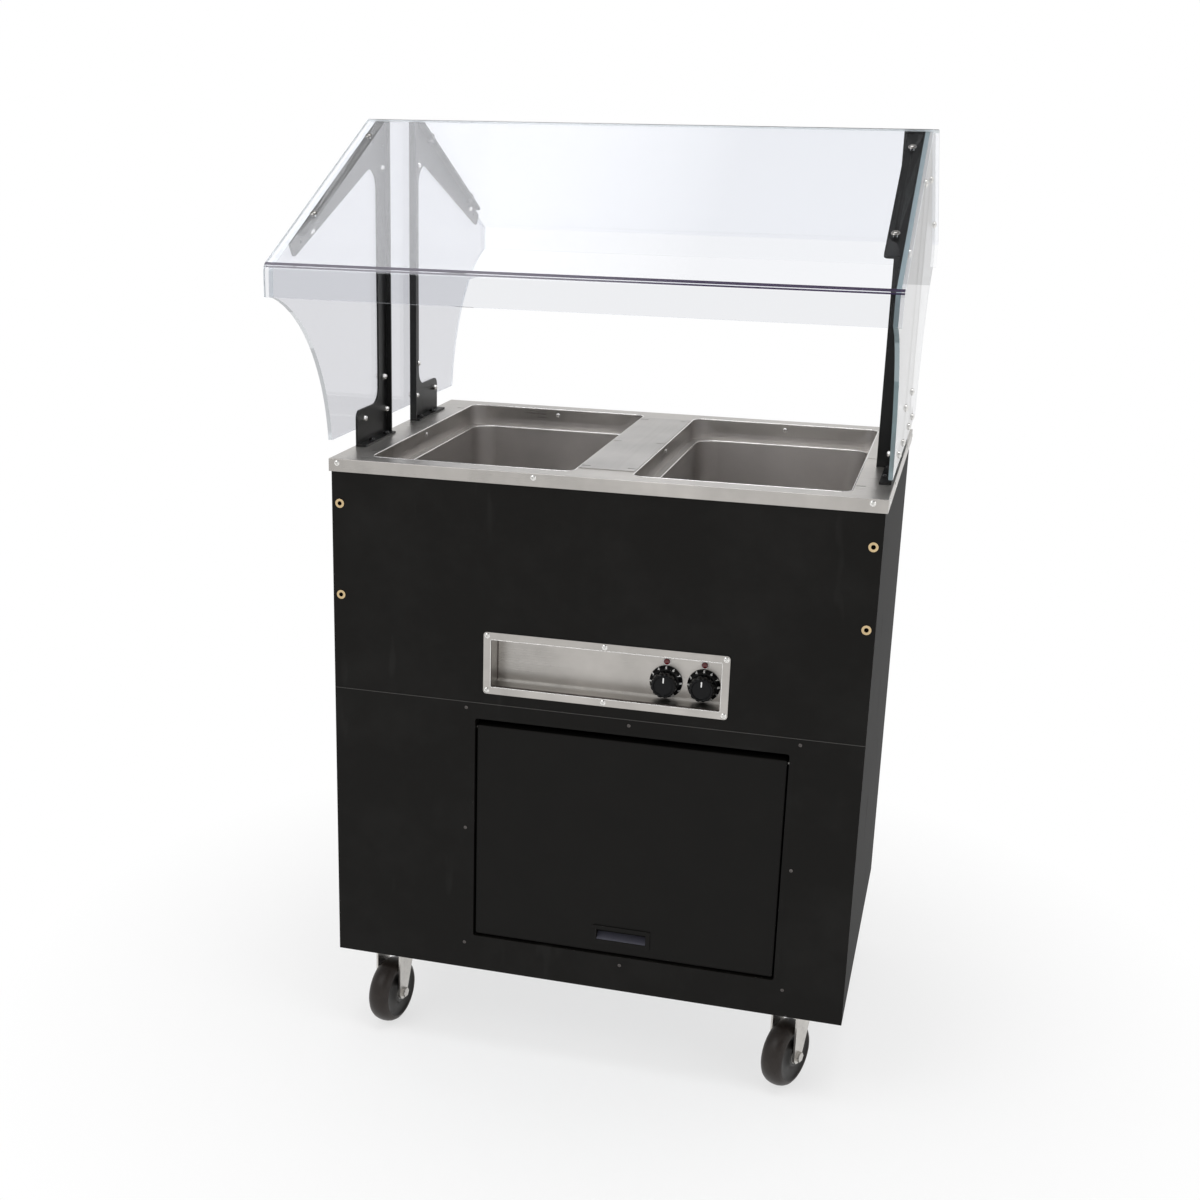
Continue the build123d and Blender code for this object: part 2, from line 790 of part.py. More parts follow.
def heat_switch(x):
    """Switch body behind the control box, bored for its shaft."""
    y0 = control_back_y + control_gauge
    body = block(x - switch_size / 2, x + switch_size / 2, y0, y0 + switch_depth,
                 knob_z - switch_size / 2, knob_z + switch_size / 2 - 2)
    body = fillet(body.edges().filter_by(Axis.Y), 3.0)
    body -= rod_y(x, y0 - 1, y0 + 8.5, knob_z, shaft_radius + running_play)
    for dx in (-11, 0, 11):
        body += block(x + dx - 3, x + dx + 3, y0 + switch_depth, y0 + switch_depth + 8, knob_z - 8, knob_z - 7.2)
    return body


def pilot_lamp(x):
    """Red lens in a bezel in front, with the lamp's barrel behind the panel."""
    z, y = knob_z + lamp_rise, control_back_y
    lens = rod_y(x, y - lamp_reach, y, z, lamp_bezel_radius)
    lens = fillet(lens.edges().group_by(Axis.Y)[0], 2.0)
    return lens + rod_y(x, y, y + lamp_depth, z, lamp_radius - 0.1)


def frame_screws():
    return [
        dome_screw_y(x, z, front_y, frame_screw_radius, frame_screw_head_radius, frame_screw_head, screw_length)
        for x, z in frame_screw_places()
    ]


def control_screws():
    head_y = front_y - control_gauge
    return [
        dome_screw_y(x, z, head_y, screw_radius, screw_head_radius, screw_head, screw_length)
        for x, z in control_screw_places()
    ]


# Food guard

def slope_z(y):
    """Height of the brackets' sloped outer edge, at a distance y from the middle."""
    return guard_apex_z - (y - guard_apex_y) * slope_fall


def bracket_web_face():
    """Outline of one bracket's web in the YZ plane, for the +Y side."""
    inner, outer = post_inner_y, post_inner_y + post_width
    base = top_height
    tip_top = slope_z(arm_tip_y)
    tip_y = arm_tip_y - arm_tip_width * math.sin(math.radians(guard_slope)) * 1.4
    tip_low = tip_top - arm_tip_width * slope_cos
    crotch_z = slope_z(outer) - arm_root_width / slope_cos
    points = [
        (inner, base), (foot_reach, base), (foot_reach, base + foot_height), (outer, base + foot_height),
        (outer, crotch_z), (tip_y, tip_low), (arm_tip_y, tip_top),
        (guard_apex_y, guard_apex_z), (inner, guard_apex_z),
    ]
    face = side_profile(points)
    corners = {2: foot_corner, 3: neck_radius, 4: crotch_radius, 5: 6.0}
    for index, radius in corners.items():
        y, z = points[index]
        vertex = face.vertices().sort_by_distance(Vector(0, y, z))[0]
        face = fillet(vertex, radius)
    return face


def bracket(sx, sy):
    """Bent bracket: web along the end, with flanges turned inwards on foot, post and arm."""
    g = bracket_gauge
    web = extrude(bracket_web_face(), g, dir=(1, 0, 0))
    foot = block(g, foot_flange, post_inner_y, foot_reach, top_height, top_height + g)
    post = block(g, post_flange[sx], post_inner_y, post_inner_y + g, top_height, guard_apex_z)
    slope = math.radians(guard_slope)
    end_y, end_z = arm_flange_end_y, slope_z(arm_flange_end_y)
    flange_face = side_profile([
        (guard_apex_y, guard_apex_z), (end_y, end_z),
        (end_y - g * math.sin(slope), end_z - g * math.cos(slope)),
        (guard_apex_y, guard_apex_z - g / slope_cos),
    ])
    arm = extrude(flange_face, arm_flange[sx], dir=(1, 0, 0))
    free_corner = arm.edges().filter_by(
        lambda e: e.center().X > arm_flange[sx] - 0.1 and e.center().Y > end_y - g and e.length < 1.1 * g
    )
    arm = fillet(free_corner, 6.0)
    body = web + foot + post + arm
    body = Pos(-bracket_outer_x, 0, 0) * body
    for y in foot_bolt_y:
        body -= rod_z(-foot_bolt_x(), y, top_height - 1, top_height + g + 1, bolt_radius + hole_play)
    for y in slope_screw_y:
        body -= slope_cut(-slope_screw_x(sx), y)
    for y, rise in end_screws:
        body -= rod_x(-bracket_outer_x - 1, -bracket_outer_x + g + 1, y, top_height + rise, bolt_radius + hole_play)
    for y, rise in web_holes:
        body -= rod_x(-bracket_outer_x - 1, -bracket_outer_x + g + 1, y, top_height + rise, web_hole_radius)
    if sx > 0:
        body = mirror(body, Plane.YZ)
    if sy < 0:
        body = mirror(body, Plane.XZ)
    return body


def foot_bolt_x():
    return bracket_outer_x - foot_flange * 0.57


def slope_screw_x(sx):
    return bracket_outer_x - arm_flange[sx] * 0.57


def foot_bolt_places():
    return [(sx * foot_bolt_x(), sy * y) for sx in (-1, 1) for sy in (-1, 1) for y in foot_bolt_y]


def slope_place(y):
    """Location on the sloped edge whose Z axis points out of the slope, for the +Y side."""
    return Pos(0, y, slope_z(y)) * Rot(-guard_slope, 0, 0)


def slope_cut(x, y):
    return Pos(x, 0, 0) * slope_place(y) * Cylinder(bolt_radius + hole_play, 60)


def slope_screw(x, y):
    """Button-head screw through the clear panel and the arm's flange, with a nut beneath."""
    g = guard_gauge
    stack = g + bracket_gauge
    head = Pos(0, 0, g + bolt_head / 2) * Cylinder(bolt_head_radius, bolt_head)
    head = fillet(head.edges().sort_by(Axis.Z)[-1], bolt_head * 0.7)
    shank = Pos(0, 0, g - (stack + nut_height) / 2) * Cylinder(bolt_radius, stack + nut_height)
    nut = Pos(0, 0, -bracket_gauge - nut_height / 2) * extrude(RegularPolygon(nut_radius, 6), nut_height / 2, both=True)
    return Pos(x, 0, 0) * slope_place(y) * (head + shank + nut)


def guard_panel(sy):
    """Clear sheet on the arms, folded down to a lip along its low edge."""
    g = guard_gauge
    lift = g / slope_cos
    fold_z = slope_z(guard_fold_y)
    outer_fold_z = fold_z + lift - g * slope_fall
    points = [
        (guard_apex_y, guard_apex_z), (guard_fold_y, fold_z), (guard_fold_y, fold_z - guard_lip),
        (guard_fold_y + g, fold_z - guard_lip), (guard_fold_y + g, outer_fold_z),
        (guard_apex_y + g * slope_fall * slope_cos, guard_apex_z + g * slope_cos),
    ]
    face = side_profile(points)
    for index, radius in ((1, guard_bend), (4, guard_bend + g)):
        y, z = points[index]
        vertex = face.vertices().sort_by_distance(Vector(0, y, z))[0]
        face = fillet(vertex, radius)
    sheet = extrude(face, guard_length / 2, dir=(1, 0, 0), both=True)
    for sx in (-1, 1):
        for y in slope_screw_y:
            sheet -= slope_cut(sx * slope_screw_x(sx), y)
    return mirror(sheet, Plane.XZ) if sy < 0 else sheet


def end_panel(sx):
    """Clear end sheet: it follows the slopes, and its lower corners are cut to concave sweeps."""
    gap = end_panel_gap
    fold_y = guard_fold_y - gap
    tip_z = top_height + end_panel_tip_rise
    foot_z = top_height + end_panel_foot_rise
    waist = (end_panel_waist_y, top_height + end_panel_waist_rise)
    top_z = guard_apex_z - gap

    def at(y, z):
        return (0, y, z)

    edges = []
    for side in (1, -1):
        edges.append(Line(at(side * guard_apex_y, top_z), at(side * fold_y, slope_z(fold_y) - gap)))
        edges.append(Line(at(side * fold_y, slope_z(fold_y) - gap), at(side * fold_y, tip_z)))
        edges.append(ThreePointArc(at(side * fold_y, tip_z), at(side * waist[0], waist[1]),
                                   at(side * end_panel_foot_y, foot_z)))
    edges.append(Line(at(end_panel_foot_y, foot_z), at(-end_panel_foot_y, foot_z)))
    edges.append(Line(at(guard_apex_y, top_z), at(-guard_apex_y, top_z)))
    face = make_face(edges)
    folds = face.vertices().group_by(lambda v: round(abs(v.Y), 3))[-1].group_by(Axis.Z)[-1]
    face = fillet(folds, guard_bend + 1.0)
    x = bracket_outer_x
    sheet = Pos(x, 0, 0) * extrude(face, end_panel_gauge, dir=(1, 0, 0))
    for sy in (-1, 1):
        for y, rise in end_screws:
            sheet -= rod_x(x - 1, x + end_panel_gauge + 1, sy * y, top_height + rise, bolt_radius + hole_play)
    return mirror(sheet, Plane.YZ) if sx < 0 else sheet


def end_screw(sx, y, z):
    """Screw with its head outside the clear end sheet and a cap nut inside the bracket."""
    outside = bracket_outer_x + end_panel_gauge
    inside = bracket_outer_x - bracket_gauge
    head = rod_x(outside, outside + bolt_head, y, z, bolt_head_radius)
    head = fillet(head.edges().group_by(Axis.X)[-1], bolt_head * 0.7)
    shank = rod_x(inside - cap_nut_height, outside, y, z, bolt_radius)
    nut = rod_x(inside - cap_nut_height, inside, y, z, nut_radius)
    nut = fillet(nut.edges().group_by(Axis.X)[0], nut_radius * 0.8)
    screw = head + shank + nut
    return mirror(screw, Plane.YZ) if sx < 0 else screw


def foot_bolt(x, y):
    top = top_height + bracket_gauge
    head = rod_z(x, y, top, top + 4.0, bolt_head_radius)
    head = fillet(head.edges().sort_by(Axis.Z)[-1], 1.5)
    shank = rod_z(x, y, top_under - nut_height, top, bolt_radius)
    nut = rod_z(x, y, top_under - nut_height, top_under, nut_radius)
    return head + shank + nut


# Casters

def caster_place(name):
    sx, sy = caster_places[name]
    x = sx * (top_length / 2 - caster_inset_x)
    y = sy * (top_depth / 2 - caster_inset_y)
    return x, y


def caster_bolt_places():
    places = []
    for name in caster_places:
        x, y = caster_place(name)
        for dx in (-1, 1):
            for dy in (-1, 1):
                places.append((x + dx * (plate_length / 2 - caster_bolt_inset),
                               y + dy * (plate_width / 2 - caster_bolt_inset)))
    return places


def caster_plate(name):
    """Top plate with its race and the king pin that the fork turns on."""
    x, y = caster_place(name)
    top = body_bottom
    plate = block(x - plate_length / 2, x + plate_length / 2, y - plate_width / 2, y + plate_width / 2,
                  top - plate_gauge, top)
    plate = fillet(plate.edges().filter_by(Axis.Z), 5.0)
    race_low = top - plate_gauge - race_height
    plate += rod_z(x, y, race_low, top - plate_gauge, race_radius)
    fork_under = fork_top() - fork_race_height - fork_gauge
    plate += rod_z(x, y, fork_under - swivel_gap - kingpin_head, race_low, kingpin_radius)
    plate += rod_z(x, y, fork_under - swivel_gap - kingpin_head, fork_under - swivel_gap, kingpin_head_radius)
    for bx, by in caster_bolt_places():
        plate -= rod_z(bx, by, top - plate_gauge - 1, top + 1, caster_bolt_radius + hole_play)
    return plate


def caster_bolt(x, y):
    head = Pos(x, y, body_bottom - plate_gauge - 4) * extrude(RegularPolygon(6.0, 6), 4.0)
    shank = rod_z(x, y, body_bottom - plate_gauge, floor_top + 5, caster_bolt_radius)
    nut = Pos(x, y, floor_top) * extrude(RegularPolygon(6.5, 6), 5.0)
    return head + shank + nut


def fork_top():
    return body_bottom - plate_gauge - race_height - swivel_gap


def turned(name, shape):
    """Carries a caster part from its own frame, trailing along -Y, to its place and heading."""
    x, y = caster_place(name)
    return Pos(x, y, 0) * Rot(0, 0, caster_headings[name]) * shape


def fork_leg_face():
    top = fork_top() - fork_race_height
    axle_y, axle_z, eye = -caster_trail, wheel_radius, axle_eye_radius
    return side_profile([
        (fork_length / 2 - fork_set_back, top), (axle_y + eye, axle_z),
        (axle_y - eye, axle_z), (-fork_length / 2 - fork_set_back / 2, top),
    ])


def caster_fork():
    g = fork_gauge
    half = wheel_width / 2 + wheel_side_gap
    top = fork_top()
    race = rod_z(0, 0, top - fork_race_height, top, race_radius + 2)
    crown_z = top - fork_race_height
    crown = block(-half - g, half + g, -fork_length / 2 - fork_set_back / 2, fork_length / 2, crown_z - g, crown_z)
    body = race + crown
    for side in (-1, 1):
        x0 = half if side > 0 else -half - g
        leg = Pos(x0, 0, 0) * extrude(fork_leg_face(), g, dir=(1, 0, 0))
        eye = rod_x(x0, x0 + g, -caster_trail, wheel_radius, axle_eye_radius)
        body += leg + eye
    body -= rod_z(0, 0, crown_z - g - 1, top + 1, kingpin_radius + running_play)
    body -= rod_x(-half - g - 1, half + g + 1, -caster_trail, wheel_radius, axle_radius)
    return body


def caster_axle():
    half = wheel_width / 2 + wheel_side_gap + fork_gauge
    shank = rod_x(-half - axle_head, half + axle_head, -caster_trail, wheel_radius, axle_radius)
    for side in (-1, 1):
        x0, x1 = sorted((side * half, side * (half + axle_head)))
        hexagon = extrude(Plane.YZ * RegularPolygon(axle_head_radius, 6), x1 - x0)
        shank += Pos(x0, -caster_trail, wheel_radius) * hexagon
    return shank


def caster_wheel():
    """Hard rubber wheel: crowned tread, dished sides and a hub that reaches the fork's legs."""
    half = wheel_width / 2
    face = make_face(Polyline([
        (0, 0, hub_radius * 0.2), (half, 0, hub_radius * 0.2), (half, 0, hub_radius), (half - 5, 0, hub_radius + 4),
        (half - 4, 0, wheel_radius - 14), (half, 0, wheel_radius - 9), (half, 0, wheel_radius), (0, 0, wheel_radius),
    ], close=True))
    corner = face.vertices().sort_by_distance(Vector(half, 0, wheel_radius))[0]
    face = fillet(corner, wheel_edge_radius - 3)
    wheel = revolve(face, Axis.X, 360)
    wheel += mirror(wheel, Plane.YZ)
    wheel = Pos(0, -caster_trail, wheel_radius) * wheel
    spacer = rod_x(-half - wheel_side_gap + 0.3, half + wheel_side_gap - 0.3, -caster_trail, wheel_radius,
                   hub_radius * 0.55)
    wheel += spacer
    return wheel - rod_x(-half - 5, half + 5, -caster_trail, wheel_radius, axle_radius + running_play)


def main():
    os.makedirs("parts", exist_ok=True)
    save("counter_top", counter_top())
    save("center_cover", center_cover())
    for name, x in well_centres.items():
        save(f"{name}_well", well_liner(x))
    xs = list(well_centres.values())
    save("well_housings", group(well_housing(x) for x in xs))
    save("well_insulation", group(insulation(x) for x in xs))
    save("heating_elements", group(heating_element(x) for x in xs))
    save("element_saddles", group(s for x in xs for s in element_saddles(x)))
    save("corner_posts", group(corner_post(sx, sy) for sx in (-1, 1) for sy in (-1, 1)))
    save("base_floor", base_floor())
    save("base_channels", group(base_channel(sx) for sx in (-1, 1)))
    save("front_upper_panel", front_upper_panel())
    save("front_lower_panel", front_lower_panel())
    save("rear_panel", rear_panel())
    save("left_side_panel", side_panel(-1))
    save("right_side_panel", side_panel(1))
    save("compartment_ceiling", compartment_ceiling())
    save("door_frame", door_frame())
    save("door_frame_screws", group(frame_screws()))
    save("access_door", access_door())
    save("door_pull", door_pull())
    save("door_hinge_pins", group(hinge_pins()))
    save("control_box", control_box())
    save("control_box_screws", group(control_screws()))
    save("left_knob", knob(knob_x[0]))
    save("right_knob", knob(knob_x[1]))
    save("heat_switches", group(heat_switch(x) for x in knob_x))
    save("pilot_lamps", group(pilot_lamp(x) for x in knob_x))
    save("rim_screws", group(rim_screw(*place) for place in rim_screw_places()))
    save("well_screws", group(well_screw(*place) for place in well_screw_places()))
    save("tray_slide_inserts", group(threaded_insert(*place) for place in insert_places()))
    save("cable_gland", cable_gland())
    for y_name, sy in (("front", -1), ("rear", 1)):
        for x_name, sx in (("left", -1), ("right", 1)):
            save(f"{y_name}_{x_name}_bracket", bracket(sx, sy))
        save(f"{y_name}_guard_panel", guard_panel(sy))
    save("left_end_panel", end_panel(-1))
    save("right_end_panel", end_panel(1))
    slope_screws = [slope_screw(sx * slope_screw_x(sx), y) for sx in (-1, 1) for y in slope_screw_y]
    slope_screws += [mirror(screw, Plane.XZ) for screw in slope_screws]
    save("guard_panel_screws", group(slope_screws))
    save("end_panel_screws", group(
        end_screw(sx, sy * y, top_height + rise) for sx in (-1, 1) for sy in (-1, 1) for y, rise in end_screws
    ))
    save("bracket_foot_bolts", group(foot_bolt(x, y) for x, y in foot_bolt_places()))
    save("caster_bolts", group(caster_bolt(x, y) for x, y in caster_bolt_places()))
    for name in caster_places:
        save(f"{name}_caster_plate", caster_plate(name))
        save(f"{name}_fork", turned(name, caster_fork()))
        save(f"{name}_axle", turned(name, caster_axle()))
        save(f"{name}_wheel", turned(name, caster_wheel()))


main()
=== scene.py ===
import bpy
import bmesh
import json
import math
import random
from mathutils import Matrix, Vector

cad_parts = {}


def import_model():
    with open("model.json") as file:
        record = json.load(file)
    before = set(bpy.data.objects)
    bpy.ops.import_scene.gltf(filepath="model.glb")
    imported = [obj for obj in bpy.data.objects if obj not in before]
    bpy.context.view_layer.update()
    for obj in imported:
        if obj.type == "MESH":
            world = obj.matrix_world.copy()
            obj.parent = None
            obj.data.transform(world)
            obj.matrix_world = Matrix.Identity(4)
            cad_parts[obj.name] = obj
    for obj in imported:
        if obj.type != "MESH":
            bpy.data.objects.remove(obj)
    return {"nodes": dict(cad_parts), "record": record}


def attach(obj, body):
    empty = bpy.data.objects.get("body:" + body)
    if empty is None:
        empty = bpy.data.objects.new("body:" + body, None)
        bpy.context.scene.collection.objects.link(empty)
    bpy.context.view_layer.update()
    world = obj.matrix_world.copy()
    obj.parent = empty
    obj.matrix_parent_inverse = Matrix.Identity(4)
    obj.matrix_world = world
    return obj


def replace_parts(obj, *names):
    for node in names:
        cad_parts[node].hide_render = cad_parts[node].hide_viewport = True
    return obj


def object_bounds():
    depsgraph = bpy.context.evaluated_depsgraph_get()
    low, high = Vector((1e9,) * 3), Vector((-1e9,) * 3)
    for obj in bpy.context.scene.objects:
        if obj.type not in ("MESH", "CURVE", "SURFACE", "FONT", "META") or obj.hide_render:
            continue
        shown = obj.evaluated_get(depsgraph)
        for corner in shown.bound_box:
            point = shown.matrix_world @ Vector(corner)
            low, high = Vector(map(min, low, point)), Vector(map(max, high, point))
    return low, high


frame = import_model()
nodes = frame["nodes"]
cad_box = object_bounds()

# Places shared with the model, in metres
top_z = 0.944
top_rim = 0.019
half_length, half_depth = 0.404, 0.2875
rim_screw_x = (0.013 - half_length, -0.092, half_length - 0.021)
rim_screw_inset = (0.0255, 0.1375)
front_y = -0.2845
seam_z = 0.5882

well_x = (-0.197, 0.197)
well_width, well_length = 0.308, 0.508
well_drop_in_width, well_drop_in_length = 0.287, 0.487

control_x, control_z = 0.020, 0.653
control_width, control_height = 0.367, 0.096
control_border = 0.011
control_gauge = 0.0012
control_screw_edge = 0.0055
recess_y = front_y + 0.037
knob_places = (("left_dial", "left_knob", 0.1055), ("right_dial", "right_knob", 0.1615))
knob_z = 0.641
lamp_z = knob_z + 0.031

door_x = 0.060
frame_columns = (-0.190, door_x, 0.310)
frame_rows = (0.186, 0.3825, 0.579)
pull_half_width = 0.0382
pull_floor = ((front_y + 0.0018, 0.2251), (front_y + 0.0148, 0.2326))

bracket_x = 0.400
arm_flange = {-1: 0.015, 1: 0.023}
foot_flange = 0.017
foot_bolt_y = (0.082, 0.144)
end_screw_places = ((0.166, 0.040), (0.072, 0.040), (0.080, 0.092), (0.084, 0.404), (0.358, 0.326))
guard_slope = math.radians(25.4)
guard_apex_y, guard_apex_z = 0.090, 1.414
guard_gauge = 0.006
slope_screw_y = (0.140, 0.352)
screw_share = 0.57

caster_inset_x, caster_inset_y = 0.078, 0.076
caster_trail = 0.024
wheel_radius = 0.053
caster_headings = {"front_left": -10.0, "front_right": -22.0, "rear_left": -8.0, "rear_right": -20.0}


# Materials

class Shade:
    """A material's node tree, with short calls for the nodes used here, in metres of the shared frame."""

    def __init__(self, name):
        self.mat = bpy.data.materials.new(name)
        self.mat.use_nodes = True
        self.tree = self.mat.node_tree
        self.bsdf = self.tree.nodes["Principled BSDF"]
        self.coord = self.add("ShaderNodeTexCoord").outputs["Object"]

    def add(self, kind, **settings):
        node = self.tree.nodes.new(kind)
        for key, value in settings.items():
            setattr(node, key, value)
        return node

    def link(self, a, b):
        self.tree.links.new(a, b)

    def set(self, **values):
        for key, value in values.items():
            self.bsdf.inputs[key.replace("_", " ")].default_value = value
        return self

    def mapped(self, scale):
        node = self.add("ShaderNodeMapping")
        node.inputs["Scale"].default_value = scale
        self.link(self.coord, node.inputs["Vector"])
        return node.outputs["Vector"]

    def noise(self, scale, detail=3.0, rough=0.5, stretch=(1, 1, 1)):
        node = self.add("ShaderNodeTexNoise")
        node.inputs["Scale"].default_value = scale
        node.inputs["Detail"].default_value = detail
        node.inputs["Roughness"].default_value = rough
        self.link(self.mapped(stretch), node.inputs["Vector"])
        return node.outputs["Fac"]

    def cells(self, scale, stretch=(1, 1, 1)):
        node = self.add("ShaderNodeTexVoronoi")
        node.inputs["Scale"].default_value = scale
        self.link(self.mapped(stretch), node.inputs["Vector"])
        return node

    def span(self, value, low, high, to_low=0.0, to_high=1.0):
        node = self.add("ShaderNodeMapRange")
        self.link(value, node.inputs["Value"])
        for key, number in zip(("From Min", "From Max", "To Min", "To Max"), (low, high, to_low, to_high)):
            node.inputs[key].default_value = number
        return node.outputs["Result"]

    def math(self, kind, a, b=0.0):
        node = self.add("ShaderNodeMath", operation=kind)
        for socket, value in zip(node.inputs, (a, b)):
            if isinstance(value, (int, float)):
                socket.default_value = value
            else:
                self.link(value, socket)
        return node.outputs[0]

    def blend(self, factor, a, b):
        node = self.add("ShaderNodeMix", data_type="RGBA")
        for socket, value in ((node.inputs[0], factor), (node.inputs[6], a), (node.inputs[7], b)):
            if isinstance(value, tuple):
                socket.default_value = (*value, 1.0)
            elif isinstance(value, (int, float)):
                socket.default_value = value
            else:
                self.link(value, socket)
        return node.outputs[2]

    def mix(self, factor, a, b):
        """One shader shown through another, by factor."""
        node = self.add("ShaderNodeMixShader")
        for socket, value in zip(node.inputs, (factor, a, b)):
            self.link(value, socket)
        return node.outputs[0]

    def color(self, value):
        self.link(value, self.bsdf.inputs["Base Color"])
        return self

    def rough(self, value):
        self.link(value, self.bsdf.inputs["Roughness"])
        return self

    def bump(self, height, distance, strength=1.0, after=None):
        node = self.add("ShaderNodeBump")
        node.inputs["Distance"].default_value = distance
        node.inputs["Strength"].default_value = strength
        self.link(height, node.inputs["Height"])
        if after is not None:
            self.link(after, node.inputs["Normal"])
        self.link(node.outputs["Normal"], self.bsdf.inputs["Normal"])
        return node.outputs["Normal"]


def tint(color, k):
    return tuple(min(1.0, c * k) for c in color)


def brushed(name, color, rough, grain, smudge=0.10, depth=0.00003):
    """Brushed sheet steel: fine streaks along one axis, faint smears and a few long scratches."""
    s = Shade(name)
    s.set(Metallic=1.0)

    def stretch(along, across):
        return tuple(along if axis == grain else across for axis in range(3))

    streak = s.noise(1.0, 2.0, 0.6, stretch(4.0, 900.0))
    cloud = s.noise(7.0, 4.0, 0.6)
    scratch = s.span(s.noise(1.0, 1.0, 0.5, stretch(10.0, 260.0)), 0.66, 0.72)
    s.color(s.blend(s.span(cloud, 0.3, 0.7), tint(color, 1.0 - smudge), tint(color, 1.0 + smudge * 0.5)))
    base = s.span(streak, 0.2, 0.8, rough - 0.07, rough + 0.07)
    s.rough(s.math("ADD", base, s.math("MULTIPLY", cloud, smudge)))
    s.bump(s.math("ADD", streak, s.math("MULTIPLY", scratch, 0.4)), depth, 0.6)
    return s.mat


def painted(name, color, rough, level, peel=900.0):
    """Satin paint on sheet metal: orange peel, faint dust, a few dull scuffs and less gloss at a glance."""
    s = Shade(name)
    facing = s.add("ShaderNodeLayerWeight")
    facing.inputs["Blend"].default_value = 0.5
    gloss = s.span(facing.outputs["Facing"], 0.72, 0.93, level, level * 0.06)
    s.link(gloss, s.bsdf.inputs["Specular IOR Level"])
    peel_height = s.noise(peel, 2.0)
    dust = s.span(s.noise(9.0, 5.0, 0.65), 0.45, 0.8)
    scuff = s.span(s.noise(1.0, 2.0, 0.5, (30.0, 30.0, 6.0)), 0.68, 0.74)
    wear = s.math("MULTIPLY", s.math("ADD", dust, scuff), 0.25)
    worn = tint(tuple(c + 0.01 for c in color), 1.6)
    s.color(s.blend(wear, color, worn))
    base = s.span(peel_height, 0.3, 0.7, rough - 0.03, rough + 0.03)
    s.rough(s.math("ADD", base, s.math("MULTIPLY", scuff, 0.1)))
    s.bump(peel_height, 0.00006, 0.35)
    return s.mat


def moulded(name, color, rough, level=0.4, grain=1500.0):
    """Moulded plastic with a fine spark texture."""
    s = Shade(name)
    s.set(Specular_IOR_Level=level)
    texture = s.cells(grain).outputs["Distance"]
    cloud = s.noise(18.0, 4.0)
    s.color(s.blend(s.span(cloud, 0.35, 0.75), color, tint(color, 1.25)))
    s.rough(s.span(cloud, 0.3, 0.7, rough - 0.05, rough + 0.05))
    s.bump(texture, 0.00005, 0.4)
    return s.mat


def plated(name, color, rough, mottle=0.1):
    """Plated or bare metal with a faint mottle."""
    s = Shade(name)
    s.set(Metallic=1.0)
    cloud = s.noise(60.0, 4.0, 0.6)
    flake = s.cells(420.0).outputs["Color"]
    s.color(s.blend(s.span(cloud, 0.3, 0.7), tint(color, 1.0 - mottle), tint(color, 1.0 + mottle)))
    base = s.span(cloud, 0.3, 0.7, rough - 0.06, rough + 0.06)
    s.rough(s.math("ADD", base, s.math("MULTIPLY", flake, 0.04)))
    s.bump(cloud, 0.00005, 0.3)
    return s.mat


